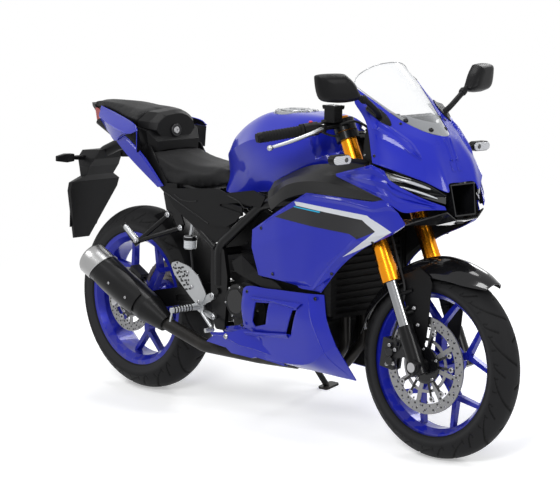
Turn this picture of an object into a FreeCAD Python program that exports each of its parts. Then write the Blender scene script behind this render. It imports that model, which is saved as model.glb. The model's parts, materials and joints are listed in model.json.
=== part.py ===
import FreeCAD, Part
import math
import os
from FreeCAD import Vector as V

# Sport motorcycle of the 250 cc class, with one seat for the rider and one for a pillion.
# It is drawn upright: X forward from the middle of the wheelbase, Y to the rider's left, Z up
# from the ground, in millimetres. At the end the steering is turned to its rest angle, the
# whole machine leans onto its side stand, and it is moved so that the ground is at Z = 0.

# Driving dimensions of the chassis
wheelbase = 1380.0
caster_deg = 25.0
trail = 95.0
lean_deg = 10.5
rest_steer_deg = 3.6
lock_deg = 34.0
fit_gap = 0.3

# Wheels and tyres
front_tyre_radius = 293.0
front_tyre_width = 112.0
front_crown_drop = 40.0
rear_tyre_radius = 314.0
rear_tyre_width = 142.0
rear_crown_drop = 46.0
tyre_wall = 10.0
rim_flange_radius = 229.0
rim_seat_radius = 219.0
rim_well_radius = 205.0
rim_wall = 6.0
front_rim_width = 82.0
rear_rim_width = 114.0
spoke_count = 5
front_spoke_angle = 18.5
rear_spoke_angle = -87.0
spoke_fork_radius = 116.0
spoke_spread_deg = 19.5
axle_radius = 10.0

# Brakes and chain drive
front_disc_radius = 149.0
front_disc_y = -70.0
rear_disc_radius = 110.0
rear_disc_y = -84.0
disc_thickness = 4.5
pad_gap = 5.0
chain_pitch = 15.875
rear_teeth = 43
front_teeth = 14
chain_y = 90.0
front_sprocket_x = -78.0
front_sprocket_z = 398.0

# Fork and steering
fork_spacing = 216.0
fork_offset = 37.7
fork_outer_radius = 26.0
fork_inner_radius = 18.5
fork_lower_radius = 24.0
fork_outer_from = 581.0
fork_lower_to = 433.0
fork_top = 1097.0
lower_clamp_at = 840.0
upper_clamp_at = 1030.0
clamp_thickness = 24.0

# Swingarm
pivot_x = -162.0
pivot_z = 417.0
arm_y = 114.0
arm_width = 20.0
plate_y = 133.0
plate_thickness = 14.0

# Body
panel_thickness = 3.5

caster = math.radians(caster_deg)
lean = math.radians(lean_deg)
front_axle = V(wheelbase / 2, 0, front_tyre_radius)
rear_axle = V(-wheelbase / 2, 0, rear_tyre_radius)
steer_foot = V(wheelbase / 2 + trail, 0, 0)
steer_axis = V(-math.sin(caster), 0, math.cos(caster))
steer_forward = V(math.cos(caster), 0, math.sin(caster))
axle_along = (front_axle - steer_foot).dot(steer_axis)


def steer_point(forward, side, along):
    """A point given in the steering head's own frame: along the steering axis from the ground."""
    return steer_foot + steer_forward * forward + V(0, side, 0) + steer_axis * along


def rounded_path(points, radius, closed=False):
    """A wire of straight runs through the points, with an arc of the given radius at each corner."""
    points = [V(*p) for p in points]
    count = len(points)
    starts, ends, arcs = {}, {}, []
    corners = range(count) if closed else range(1, count - 1)
    for i in corners:
        here, before, after = points[i], points[i - 1], points[(i + 1) % count]
        a = (before - here).normalize()
        b = (after - here).normalize()
        half = a.getAngle(b) / 2
        reach = min(radius / math.tan(half), 0.48 * (before - here).Length, 0.48 * (after - here).Length)
        if math.pi / 2 - half < 0.02:
            continue
        starts[i], ends[i] = here + a * reach, here + b * reach
        inward = (a + b).normalize()
        bend = reach * math.tan(half)
        centre = here + inward * (bend / math.sin(half))
        arcs.append((i, Part.Arc(starts[i], centre - inward * bend, ends[i]).toShape()))
    arcs = dict(arcs)
    edges = []
    for i in range(count if closed else count - 1):
        j = (i + 1) % count
        if i in arcs:
            edges.append(arcs[i])
        p, q = ends.get(i, points[i]), starts.get(j, points[j])
        if (q - p).Length > 1e-6:
            edges.append(Part.LineSegment(p, q).toShape())
    return Part.Wire(edges)


def tube(points, radius, bend=30.0, bore=0.0):
    """A round tube that follows the points, bent at each corner."""
    path = rounded_path(points, bend)
    first = (V(*points[1]) - V(*points[0])).normalize()
    ring = Part.Wire([Part.makeCircle(radius, V(*points[0]), first)])
    solid = path.makePipeShell([ring], True, False)
    if bore:
        hole = Part.Wire([Part.makeCircle(bore, V(*points[0]), first)])
        solid = solid.cut(path.makePipeShell([hole], True, False))
    return solid


def rod(start, end, radius, end_radius=None):
    """A straight round bar, or a cone, from one point to another."""
    start, end = V(*start), V(*end)
    d = end - start
    if end_radius is None:
        return Part.makeCylinder(radius, d.Length, start, d)
    return Part.makeCone(radius, end_radius, d.Length, start, d)


def side_plate(outline, y_from, y_to, corner=0.0):
    """A plate with its outline in side view, from one Y to the other."""
    points = [(x, y_from, z) for x, z in outline]
    wire = rounded_path(points, corner, True) if corner else Part.makePolygon(
        [V(*p) for p in points + points[:1]])
    return Part.Face(wire).extrude(V(0, y_to - y_from, 0))


def block(x, y, z):
    """A box from three ranges."""
    return Part.makeBox(x[1] - x[0], y[1] - y[0], z[1] - z[0], V(x[0], y[0], z[0]))


def fuse(shapes):
    """One shape from several that meet."""
    first = shapes[0].fuse(shapes[1:]) if len(shapes) > 1 else shapes[0]
    return first.removeSplitter()


def post_to(shell, start, end, radius):
    """A round post from its start up to the shell that stands in its way."""
    pieces = rod(start, end, radius).cut(shell).Solids
    return min(pieces, key=lambda piece: piece.distToShape(Part.Vertex(V(*start)))[0])


def both_sides(shape):
    """The shape and its mirror image, as separate solids."""
    return Part.makeCompound([shape, mirrored(shape)])


def mirrored(shape):
    return shape.mirror(V(0, 0, 0), V(0, 1, 0))


def spline(points):
    """A smooth edge through the points, or a straight one through two."""
    points = [V(*p) for p in points]
    if len(points) == 2:
        return Part.LineSegment(points[0], points[1]).toShape()
    curve = Part.BSplineCurve()
    curve.interpolate(points)
    return curve.toShape()


def solid_loft(sections, creases=(), ruled=False):
    """A solid lofted through closed planar sections with an edge at each crease."""
    wires = []
    for section in sections:
        points = [V(*p) for p in section]
        stops = [*creases, creases[0] + len(points)] if creases else [0, len(points)]
        ring = points + points + points[:1]
        wires.append(Part.Wire([spline(ring[a:b + 1]) for a, b in zip(stops, stops[1:])]))
    return Part.makeLoft(wires, True, ruled)


def spun(profile, centre):
    """A closed profile of (y, radius) points or edges turned about the wheel's axle."""
    face = Part.Face(profile)
    ring = face.revolve(V(0, 0, 0), V(0, 1, 0), 360)
    ring.translate(centre)
    return ring


def profile_wire(points):
    return Part.makePolygon([V(0, y, r) for y, r in points + points[:1]])


def tyre(centre, radius, width, drop, rim_width):
    """A hollow tyre: crown and side walls as arcs, with its beads between the rim's flanges."""
    seat = rim_seat_radius + fit_gap
    heel = rim_width / 2 - rim_wall - fit_gap
    toe = heel - 10
    half = width / 2
    shoulder = radius - drop
    over_flange = rim_flange_radius + 2
    lift = (shoulder + over_flange) / 2

    def arc(a, b, c):
        return Part.Arc(V(0, *a), V(0, *b), V(0, *c)).toShape()

    def line(a, b):
        return Part.LineSegment(V(0, *a), V(0, *b)).toShape()

    inner_half = half - tyre_wall
    edges = [
        line((-toe, seat), (-heel, seat)),
        line((-heel, seat), (-heel, over_flange)),
        arc((-heel, over_flange), (-(heel + half) / 2 - 5, lift - 5), (-half, shoulder)),
        arc((-half, shoulder), (0, radius), (half, shoulder)),
        arc((half, shoulder), ((heel + half) / 2 + 5, lift - 5), (heel, over_flange)),
        line((heel, over_flange), (heel, seat)),
        line((heel, seat), (toe, seat)),
        line((toe, seat), (heel - 6, over_flange)),
        arc((heel - 6, over_flange), ((heel + inner_half) / 2 + 2, lift - 3), (inner_half, shoulder)),
        arc((inner_half, shoulder), (0, radius - tyre_wall), (-inner_half, shoulder)),
        arc((-inner_half, shoulder), (-(heel + inner_half) / 2 - 2, lift - 3), (-heel + 6, over_flange)),
        line((-heel + 6, over_flange), (-toe, seat)),
    ]
    return spun(Part.Wire(edges), centre)


def y_spoke(angle, hub_radius, depth):
    """One forked spoke: a leg from the hub, parting into two arms that run into the rim."""
    rim = rim_well_radius - rim_wall + 3
    fork_at = V(spoke_fork_radius, 0, 0)
    pieces = [side_plate([(hub_radius - 8, -14), (spoke_fork_radius + 6, -11), (spoke_fork_radius + 6, 11),
                          (hub_radius - 8, 14)], -depth, depth)]
    for side in (-1, 1):
        tip = math.radians(spoke_spread_deg) * side
        end = V(rim * math.cos(tip), 0, rim * math.sin(tip))
        run = (end - fork_at).normalize()
        across = V(-run.z, 0, run.x)
        start = fork_at - run * 10
        corners = [start + across * 9, end + across * 6, end - across * 6, start - across * 9]
        pieces.append(side_plate([(c.x, c.z) for c in corners], -depth * 0.75, depth * 0.75))
    spoke = fuse(pieces)
    spoke.rotate(V(0, 0, 0), V(0, 1, 0), -angle)
    return spoke


def rim(centre, width, first_angle, hub_half, hub_radius, depth):
    """A cast wheel: barrel with flanges and a well, a hub, and forked spokes."""
    half = width / 2
    flange, seat, well = rim_flange_radius, rim_seat_radius, rim_well_radius
    outer = [(half, flange), (half - rim_wall, flange), (half - rim_wall, seat), (half - 20, seat),
             (half - 27, well), (-(half - 27), well), (-(half - 20), seat), (-(half - rim_wall), seat),
             (-(half - rim_wall), flange), (-half, flange)]
    inner = [(-half, flange - 15), (-(half - 20), well - rim_wall), (half - 20, well - rim_wall),
             (half, flange - 15)]
    barrel = Part.Face(profile_wire(outer + inner)).revolve(V(0, 0, 0), V(0, 1, 0), 360)
    hub = Part.makeCylinder(hub_radius, 2 * hub_half, V(0, -hub_half, 0), V(0, 1, 0))
    flange_ring = Part.makeCylinder(hub_radius + 16, 12, V(0, -hub_half, 0), V(0, 1, 0))
    far_ring = Part.makeCylinder(hub_radius + 12, 12, V(0, hub_half - 12, 0), V(0, 1, 0))
    step = 360.0 / spoke_count
    spokes = [y_spoke(first_angle + i * step, hub_radius, depth) for i in range(spoke_count)]
    wheel = fuse([barrel, hub, flange_ring, far_ring, *spokes])
    bore = Part.makeCylinder(axle_radius + fit_gap / 4, 4 * hub_half, V(0, -2 * hub_half, 0), V(0, 1, 0))
    wheel = wheel.cut(bore)
    wheel.translate(centre)
    return wheel


def disc(centre, radius, y, band, carrier_radius, arms):
    """A drilled brake disc on a spider that bolts to the hub."""
    def ring(r, inner, thickness):
        start = V(0, y - thickness / 2, 0)
        body = Part.makeCylinder(r, thickness, start, V(0, 1, 0))
        return body.cut(Part.makeCylinder(inner, thickness, start, V(0, 1, 0)))

    holes = []
    rows = 3
    per_row = 20
    for i in range(per_row):
        for row in range(rows):
            a = math.radians((i + row / rows) * 360 / per_row)
            r = radius - band * (0.22 + 0.28 * row)
            holes.append(Part.makeCylinder(2.6, disc_thickness + 2,
                                           V(r * math.cos(a), y - disc_thickness / 2 - 1,
                                                                    r * math.sin(a)), V(0, 1, 0)))
    face = ring(radius, radius - band, disc_thickness).cut(Part.makeCompound(holes))
    spider = ring(carrier_radius, carrier_radius - 9, disc_thickness - 1)
    hub_ring = ring(52, 40, disc_thickness - 1)
    spider_arms = []
    for i in range(arms):
        arm = block((44, radius - band + 4), (y - 1.75, y + 1.75), (-7, 7))
        arm.rotate(V(0, 0, 0), V(0, 1, 0), 360.0 / arms * i + 12)
        spider_arms.append(arm)
    made = fuse([face, spider, hub_ring, *spider_arms])
    made.translate(centre)
    return made


def sprocket_radius(teeth):
    return chain_pitch / (2 * math.sin(math.pi / teeth))


def refined(points, parts):
    """The points with extra ones between them on a smooth curve."""
    if parts == 1:
        return [V(*p) for p in points]
    pts = [V(*p) for p in points]
    out = []
    for i in range(len(pts) - 1):
        a, b = pts[i], pts[i + 1]
        before = pts[i - 1] if i else a * 2 - b
        after = pts[i + 2] if i + 2 < len(pts) else b * 2 - a
        for step in range(parts):
            t = step / parts
            out.append((a * 2 + (b - before) * t + (before * 2 - a * 5 + b * 4 - after) * t * t
                        + (a * 3 - before - b * 3 + after) * t ** 3) * 0.5)
    return out + [pts[-1]]


def facets_solid(corners, faces):
    """A solid from planar faces, given as lists of corner numbers."""
    made = []
    for face in faces:
        ring = [corners[i] for i in face]
        made.append(Part.Face(Part.makePolygon(ring + ring[:1])))
    shell = Part.makeShell(made)
    shell.sewShape()
    solid = Part.Solid(shell)
    if solid.Volume < 0:
        solid.reverse()
    return solid


def panel(columns, thickness=panel_thickness, along=1, across=1, whole=False):
    """A moulded panel of even thickness over a grid of points. Each column runs down the panel, and
    the columns follow one another so that the outside is to the left of the walk. The panel can be
    made whole with its mirror image, when the last column lies on the middle plane."""
    if whole:
        columns = columns + [[(x, -y, z) for x, y, z in column] for column in columns[-2::-1]]
    columns = [refined(column, across) for column in columns]
    rows = [refined(list(row), along) for row in zip(*columns)]
    grid = [list(column) for column in zip(*rows)]
    wide, high = len(grid), len(grid[0])
    outer = [p for column in grid for p in column]
    normals = [V(0, 0, 0) for _ in outer]
    triangles = []
    for i in range(wide - 1):
        for j in range(high - 1):
            a, b, c, d = i * high + j, (i + 1) * high + j, (i + 1) * high + j + 1, i * high + j + 1
            halves = [(a, c, b), (a, d, c)]
            if (outer[a] - outer[c]).Length > (outer[b] - outer[d]).Length:
                halves = [(a, d, b), (b, d, c)]
            for t in halves:
                across_cell = (outer[t[1]] - outer[t[0]]).cross(outer[t[2]] - outer[t[0]])
                if across_cell.Length < 1e-6:
                    continue
                triangles.append(t)
                for k in t:
                    normals[k] = normals[k] + across_cell
    middle = [n.normalize() if n.Length > 1e-9 else V(0, -1, 0) for n in normals]
    inner = [p - n * thickness for p, n in zip(outer, middle)]
    count = len(outer)
    faces = list(triangles) + [(c + count, b + count, a + count) for a, b, c in triangles]
    used = {}
    for t in triangles:
        for a, b in zip(t, t[1:] + t[:1]):
            used[(a, b)] = True
    for a, b in list(used):
        if (b, a) not in used:
            faces.append((b, a, a + count))
            faces.append((b, a + count, b + count))
    return facets_solid(outer + inner, faces)


def bridged(outline_a, outline_b):
    """A solid between two outlines with as many corners, which need not be flat."""
    count = len(outline_a)
    corners = [V(*p) for p in outline_a + outline_b]
    faces = []
    for i in range(count):
        j = (i + 1) % count
        faces += [(i, j, j + count), (i, j + count, i + count)]
    for i in range(1, count // 2):
        a, b, c, d = i, i + 1, count - 1 - i, count - i
        ends = [(0, 1, count - 1)] if i == 1 else []
        ends += [(a, b, d), (b, c, d)] if b != c else [(a, b, d)]
        for t in ends:
            faces.append(t[::-1])
            faces.append(tuple(k + count for k in t))
    return facets_solid(corners, faces)


# Frame: a head tube, two side spars of steel tube, pivot plates and the seat rails
tube_y = plate_y + plate_thickness / 2
head_from = lower_clamp_at + clamp_thickness + fit_gap
head_to = upper_clamp_at - fit_gap


def side_tubes(side):
    """The tubes and the pivot plate of one side of the frame."""
    low, high = steer_point(0, 0, head_from + 22), steer_point(0, 0, head_to - 20)
    spar = tube([(low.x - 8, 20 * side, low.z), (260, 118 * side, 765), (30, 132 * side, 716),
                 (-164, tube_y * side, 565), (pivot_x - 2, tube_y * side, pivot_z + 20)], 16, 60)
    upper = tube([(high.x - 8, 20 * side, high.z), (170, 104 * side, 790), (30, 128 * side, 716)], 13, 50)
    plate = side_plate([(-196, 560), (-136, 560), (-118, 470), (-122, 380), (-132, 292), (-176, 292),
                        (-196, 380), (-200, 470)], plate_y * side, (plate_y + plate_thickness) * side, 12)
    return fuse([spar, upper, plate])


head_tube = rod(steer_point(0, 0, head_from), steer_point(0, 0, head_to), 31)
head_bore = rod(steer_point(0, 0, head_from - 10), steer_point(0, 0, head_to + 10), 17 + fit_gap / 4)
pivot_shaft = rod((pivot_x, -(plate_y + plate_thickness + 8), pivot_z),
                  (pivot_x, plate_y + plate_thickness + 8, pivot_z), 10)
cross_tubes = [rod((-156, -plate_y - 3, 545), (-156, plate_y + 3, 545), 13),
               rod((-156, -plate_y - 3, 304), (-156, plate_y + 3, 304), 11),
               rod((200, -108, 762), (200, 108, 762), 12)]
hangers = [side_plate([(225, 775), (180, 775), (188, 690), (214, 690)], 104 * s, 112 * s, 6) for s in (1, -1)]
past_head = [rod(steer_point(0, 0, head_from - 40), steer_point(0, 0, head_from), 60),
             rod(steer_point(0, 0, head_to), steer_point(0, 0, head_to + 40), 60)]
frame = fuse([head_tube, side_tubes(1), side_tubes(-1), pivot_shaft, *cross_tubes, *hangers])
frame = frame.cut(Part.makeCompound([head_bore, *past_head]))

rails = []
for s in (1, -1):
    rails.append(tube([(-182, tube_y * s, 556), (-448, 112 * s, 704), (-700, 80 * s, 838),
                       (-890, 56 * s, 905)],
                      11, 80))
    rails.append(tube([(-20, 122 * s, 706), (-200, 112 * s, 712), (-430, 96 * s, 742), (-700, 80 * s, 838)],
                      10, 60))
rails.append(rod((-440, -108, 704), (-440, 108, 704), 9))
rails.append(rod((-700, -80, 838), (-700, 80, 838), 9))
rails.append(rod((-880, -60, 902), (-880, 60, 902), 8))
seat_rails = fuse(rails)

# Engine: crankcase, leaned cylinder, side covers
crankcase = side_plate([(-128, 372), (-126, 450), (-60, 486), (60, 470), (215, 420), (250, 360), (225, 262),
                        (60, 236), (-90, 250)], -112, 76, 18)
cylinder = solid_loft([[(40, -95, 440), (235, -95, 420), (235, 72, 420), (40, 72, 440)],
                       [(70, -95, 600), (262, -95, 585), (262, 72, 585), (70, 72, 600)],
                       [(84, -86, 690), (262, -86, 672), (262, 66, 672), (84, 66, 690)]], (0, 1, 2, 3))
clutch_cover = rod((-22, -112, 378), (-22, -146, 378), 92, 84)
timing_cover = rod((125, -112, 350), (125, -138, 350), 76, 70)
generator_cover = rod((96, 76, 348), (96, 128, 348), 84, 76)
cover_ring = rod((-30, -146, 412), (-30, -158, 412), 34, 32).cut(rod((-30, -152, 412), (-30, -160, 412), 26))
engine = fuse([crankcase, cylinder, clutch_cover, timing_cover, generator_cover, cover_ring])
for i in range(5):
    engine = engine.cut(block((30, 270), (-96.1, -88), (500 + 26 * i, 508 + 26 * i)))
    engine = engine.cut(block((30, 270), (66, 72.1), (500 + 26 * i, 508 + 26 * i)))

gear_shaft = rod((front_sprocket_x, 70, front_sprocket_z), (front_sprocket_x, chain_y + 10, front_sprocket_z),
                 11)
chain_width = 15.0
plate_height = 14.4
roller_radius = 5.08
link_plate = 1.8
sprocket_thickness = 5.8


def toothed(teeth, centre, thickness, tip_radius, seat_radius):
    """A sprocket with a rounded seat under each roller."""
    pitch_radius = sprocket_radius(teeth)
    body = Part.makeCylinder(tip_radius, thickness, V(0, chain_y - thickness / 2, 0), V(0, 1, 0))
    seats = []
    for i in range(teeth):
        seat = Part.makeCylinder(seat_radius, thickness + 2, V(pitch_radius, chain_y - thickness / 2 - 1, 0),
                                 V(0, 1, 0))
        seat.rotate(V(0, 0, 0), V(0, 1, 0), -360.0 * (i + 0.5) / teeth)
        seats.append(seat)
    body = body.cut(Part.makeCompound(seats))
    body.translate(centre)
    return body


front_sprocket_at = V(front_sprocket_x, 0, front_sprocket_z)


def chain_loop():
    """The chain as one loop that wraps both sprockets, with waisted side plates as its outline."""
    big, small = sprocket_radius(rear_teeth), sprocket_radius(front_teeth)
    span = front_sprocket_at - rear_axle
    distance = math.hypot(span.x, span.z)
    base = math.atan2(span.z, span.x)
    open_angle = math.acos((big - small) / distance)
    straight = math.sqrt(distance ** 2 - (big - small) ** 2)
    wrap_big, wrap_small = 2 * (math.pi - open_angle), 2 * open_angle
    total = straight * 2 + big * wrap_big + small * wrap_small
    links = 2 * round(total / chain_pitch / 2)

    def at(distance_along):
        d = distance_along % total
        if d < straight:
            a = base + open_angle
            p = rear_axle + V(math.cos(a), 0, math.sin(a)) * big
            q = front_sprocket_at + V(math.cos(a), 0, math.sin(a)) * small
            return p + (q - p) * (d / straight)
        d -= straight
        if d < small * wrap_small:
            a = base + open_angle - d / small
            return front_sprocket_at + V(math.cos(a), 0, math.sin(a)) * small
        d -= small * wrap_small
        if d < straight:
            a = base - open_angle
            q = rear_axle + V(math.cos(a), 0, math.sin(a)) * big
            p = front_sprocket_at + V(math.cos(a), 0, math.sin(a)) * small
            return p + (q - p) * (d / straight)
        d -= straight
        a = base - open_angle - d / big
        return rear_axle + V(math.cos(a), 0, math.sin(a)) * big

    pins = [at(i * total / links) for i in range(links)]
    half = plate_height / 2
    edges_out, edges_in = [], []
    ring_out, ring_in = [], []
    for i in range(links):
        a, b = pins[i], pins[(i + 1) % links]
        along = (b - a).normalize()
        out = V(-along.z, 0, along.x)
        quarter = (b - a) * 0.26
        for p, h in ((a + quarter, half), ((a + b) * 0.5, half * 0.72), (b - quarter, half)):
            ring_out.append(p + out * h)
            ring_in.append(p - out * h)
    outer = Part.makePolygon(ring_out + ring_out[:1])
    inner = Part.makePolygon(ring_in + ring_in[:1])
    flat = Part.Face(outer).cut(Part.Face(inner)).Faces[0]
    pieces = []
    for y in (chain_y - chain_width / 2, chain_y + chain_width / 2 - link_plate * 2):
        face = flat.copy()
        face.translate(V(0, y, 0))
        pieces.append(face.extrude(V(0, link_plate * 2, 0)))
    for p in pins:
        pieces.append(Part.makeCylinder(roller_radius, chain_width - 2 * link_plate,
                                        p + V(0, chain_y - chain_width / 2 + link_plate, 0), V(0, 1, 0)))
    return pieces[0].fuse(pieces[1:])


chain = chain_loop()
tooth_rise = 3.2
running_gap = 0.4
front_sprocket = toothed(front_teeth, front_sprocket_at, sprocket_thickness,
                         sprocket_radius(front_teeth) - roller_radius - running_gap,
                         roller_radius + tooth_rise)
engine = fuse([engine, front_sprocket, gear_shaft])
sprocket_face = chain_y + sprocket_thickness / 2

# Rear wheel
rear_hub_half = -rear_disc_y - disc_thickness / 2
tyre_rear = tyre(rear_axle, rear_tyre_radius, rear_tyre_width, rear_crown_drop, rear_rim_width)
rim_rear = rim(rear_axle, rear_rim_width, rear_spoke_angle, rear_hub_half, 38, 15)
disc_rear = disc(rear_axle, rear_disc_radius, rear_disc_y, 30, 62, 5)
sprocket_rear = toothed(rear_teeth, rear_axle, sprocket_thickness,
                        sprocket_radius(rear_teeth) - roller_radius - running_gap, roller_radius + tooth_rise)
ring = Part.makeCylinder(62, chain_y - sprocket_thickness / 2 - rear_hub_half,
                         rear_axle + V(0, rear_hub_half, 0),
                         V(0, 1, 0))
windows = []
for i in range(5):
    window = Part.makeCylinder(13, 30, V(78, chain_y - 15, 0), V(0, 1, 0))
    window.rotate(V(0, 0, 0), V(0, 1, 0), 72 * i)
    window.translate(rear_axle)
    windows.append(window)
sprocket_bore = rod((rear_axle.x, 0, rear_axle.z), (rear_axle.x, 200, rear_axle.z), 12)
sprocket_rear = fuse([sprocket_rear, ring]).cut(Part.makeCompound(windows)).cut(sprocket_bore)

# Swingarm with its axle, and the parts it carries
arm_in, arm_out = arm_y - arm_width / 2, arm_y + arm_width / 2
arms = []
for s in (1, -1):
    arm = side_plate([(pivot_x + 26, pivot_z - 18), (pivot_x + 22, pivot_z + 18),
                      (pivot_x - 20, pivot_z + 26),
                      (-420, 392), (-655, 340), (-735, 334), (-748, 314), (-735, 296), (-655, 292),
                      (-420, 330), (pivot_x - 30, pivot_z - 30)], arm_in * s, arm_out * s, 10)
    boss = rod((pivot_x, arm_in * s, pivot_z), (pivot_x, (plate_y - fit_gap) * s, pivot_z), 24)
    arms += [arm, boss]
bridge = side_plate([(-262, 424), (-338, 408), (-338, 352), (-262, 362)], -arm_in - 2, 74, 8)
bridge_left = side_plate([(-262, 412), (-338, 396), (-338, 374), (-262, 384)], 73, arm_in + 2, 4)
swingarm = fuse([*arms, bridge, bridge_left])
swingarm = swingarm.cut(rod((pivot_x, -200, pivot_z), (pivot_x, 200, pivot_z), 10 + fit_gap / 4))
for s in (1, -1):
    swingarm = swingarm.cut(side_plate([(-215, 398), (-228, 372), (-400, 350), (-400, 372)],
                                       (arm_out - 5) * s, (arm_out + 1) * s, 6))
rear_axle_bar = [rod((rear_axle.x, -arm_out - 14, rear_axle.z), (rear_axle.x, arm_out + 14, rear_axle.z),
                     axle_radius)]
for s in (1, -1):
    face = rear_hub_half + fit_gap if s < 0 else sprocket_face + fit_gap
    rear_axle_bar.append(rod((rear_axle.x, face * s, rear_axle.z), (rear_axle.x, arm_in * s, rear_axle.z),
                             16))
    rear_axle_bar.append(rod((rear_axle.x, arm_out * s, rear_axle.z),
                             (rear_axle.x, (arm_out + 4) * s, rear_axle.z), 20))
    nut = Part.makePolygon([V(rear_axle.x + 15 * math.cos(math.radians(60 * k)), (arm_out + 4) * s,
                              rear_axle.z + 15 * math.sin(math.radians(60 * k))) for k in range(7)])
    rear_axle_bar.append(Part.Face(nut).extrude(V(0, 9 * s, 0)))
rear_axle_bar = fuse(rear_axle_bar)
swingarm = swingarm.cut(rod((rear_axle.x, -200, rear_axle.z), (rear_axle.x, 200, rear_axle.z), axle_radius))
spool_hole_radius = 3.3
spool_x, spool_z = -625.0, 316.0
for s in (1, -1):
    swingarm = swingarm.cut(rod((spool_x, (arm_in - 1) * s, spool_z), (spool_x, (arm_out + 1) * s, spool_z),
                                spool_hole_radius))


def caliper(centre, radius, face_y, angle_deg, length=74.0, depth=38.0, outer=34.0):
    """A caliper that straddles a disc, with the slot for the disc open towards the axle."""
    half = disc_thickness / 2 + pad_gap
    body = block((radius - depth, radius + 14), (face_y - outer / 2 - 4, face_y + outer / 2),
                 (-length / 2, length / 2))
    body = body.makeFillet(5, [e for e in body.Edges
                               if abs(e.Vertexes[0].Point.y - e.Vertexes[1].Point.y) > 1])
    slot = block((radius - depth - 1, radius + 5), (face_y - half, face_y + half),
                 (-length / 2 - 1, length / 2 + 1))
    body = body.cut(slot)
    for z in (-16, 16):
        cap = rod((radius - 18, face_y - outer / 2 - 4, z), (radius - 18, face_y - outer / 2 - 9, z), 12, 11)
        body = body.fuse(cap)
    body = body.removeSplitter()
    body.rotate(V(0, 0, 0), V(0, 1, 0), -angle_deg)
    body.translate(centre)
    return body


rear_caliper_angle = 62.0
caliper_rear = caliper(rear_axle, rear_disc_radius, rear_disc_y, rear_caliper_angle, 62, 34, 30)
hanger = side_plate([(20, -16), (80, -17), (122, -12), (122, 16), (80, 17), (20, 16)], rear_disc_y - 14.8,
                    rear_disc_y - 9, 4)
hanger.rotate(V(0, 0, 0), V(0, 1, 0), -rear_caliper_angle)
hanger.translate(rear_axle)
carrier_eye = rod((rear_axle.x, rear_disc_y - 9, rear_axle.z), (rear_axle.x, -arm_in, rear_axle.z), 28)
caliper_rear = fuse([caliper_rear, hanger, carrier_eye])
caliper_rear = caliper_rear.cut(rod((rear_axle.x, 0, rear_axle.z), (rear_axle.x, -200, rear_axle.z), 16))

chain_guard = side_plate([(-225, 452), (-360, 456), (-560, 450), (-640, 440), (-640, 434), (-560, 443),
                          (-360, 448), (-225, 444)], 76, 104)
chain_guard = fuse([chain_guard, side_plate([(-225, 452), (-360, 456), (-560, 450), (-640, 440), (-640, 418),
                                             (-560, 420), (-360, 428), (-225, 430)], 104, 106.5)])
hugger_feet = [rod((-300, 105, 404), (-300, 105, 440), 5)]
chain_guard = fuse([chain_guard, *hugger_feet])

shock_top, shock_low = V(-262, 0, 612), V(-300, 0, 424)
shock_way = (shock_low - shock_top).normalize()
rear_shock = fuse([
    rod(shock_top, shock_low, 7), rod(shock_top + shock_way * 10, shock_top + shock_way * 100, 22),
    rod(shock_low - shock_way * 24, shock_low - shock_way * 10, 26),
    rod(shock_top - V(0, 20, 0), shock_top + V(0, 20, 0), 13),
    rod(shock_low - V(0, 16, 0), shock_low + V(0, 16, 0), 11)])
coil = Part.makeHelix(19, 128, 30, 0)
coil_ring = Part.Wire([Part.makeCircle(5.2, V(30, 0, 0), V(0, 1, 0))])
spring = Part.Wire(coil.Edges).makePipeShell([coil_ring], True, False)
turn = FreeCAD.Rotation(V(0, 0, 1), shock_way)
spring.Placement = FreeCAD.Placement(shock_top + shock_way * 40, turn)
shock_mount = rod((shock_top.x, -104, shock_top.z), (shock_top.x, 104, shock_top.z), 8)
rear_shock = fuse([rear_shock, shock_mount])
lugs = []
for s in (1, -1):
    lugs.append(side_plate([(-285, 622), (-240, 640), (-240, 596), (-285, 596)], 104 * s, 126 * s, 4))
    lugs.append(side_plate([(-470, 716), (-392, 672), (-362, 610), (-374, 588), (-394, 594), (-420, 640),
                            (-452, 650)], 116 * s, 122 * s, 6))
seat_rails = fuse([seat_rails, *lugs])

# Front wheel
front_hub_half = -front_disc_y - disc_thickness / 2
tyre_front = tyre(front_axle, front_tyre_radius, front_tyre_width, front_crown_drop, front_rim_width)
rim_front = rim(front_axle, front_rim_width, front_spoke_angle, front_hub_half, 34, 13)
disc_front = disc(front_axle, front_disc_radius, front_disc_y, 32, 84, 8)

# Steering head: fork legs, clamps, axle
fork_y = fork_spacing / 2
legs, sliders, feet = [], [], []
for s in (1, -1):
    y = fork_y * s

    def at(along, forward=fork_offset, side=y):
        return steer_point(forward, side, along)

    legs.append(fuse([rod(at(fork_outer_from), at(fork_top), fork_outer_radius),
                      rod(at(fork_outer_from - 6), at(fork_outer_from + 44), fork_outer_radius + 3),
                      rod(at(fork_top), at(fork_top + 7), 20)]).cut(
                          rod(at(fork_outer_from - 7), at(fork_top - 20), fork_inner_radius + fit_gap / 4)))
    sliders.append(rod(at(fork_lower_to - 30), at(fork_outer_from + 120), fork_inner_radius))
    foot = fuse([rod(at(fork_lower_to - 30), at(fork_lower_to), fork_lower_radius),
                 rod(at(axle_along - 26), at(fork_lower_to - 30), fork_lower_radius + 2),
                 rod(front_axle + V(0, (fork_y - 24) * s, 0), front_axle + V(0, (fork_y + 24) * s, 0), 25)])
    feet.append(foot)
fork_outer = Part.makeCompound(legs)
front_axle_bar = [rod(front_axle + V(0, -fork_y - 30, 0), front_axle + V(0, fork_y + 30, 0), axle_radius)]
for s in (1, -1):
    face = front_hub_half + (disc_thickness if s < 0 else 0) + fit_gap
    front_axle_bar.append(rod(front_axle + V(0, face * s, 0), front_axle + V(0, (fork_y - 24) * s, 0), 15))
    front_axle_bar.append(rod(front_axle + V(0, (fork_y + 24) * s, 0),
                              front_axle + V(0, (fork_y + 30) * s, 0), 15))
front_axle_bar = fuse(front_axle_bar)
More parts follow.
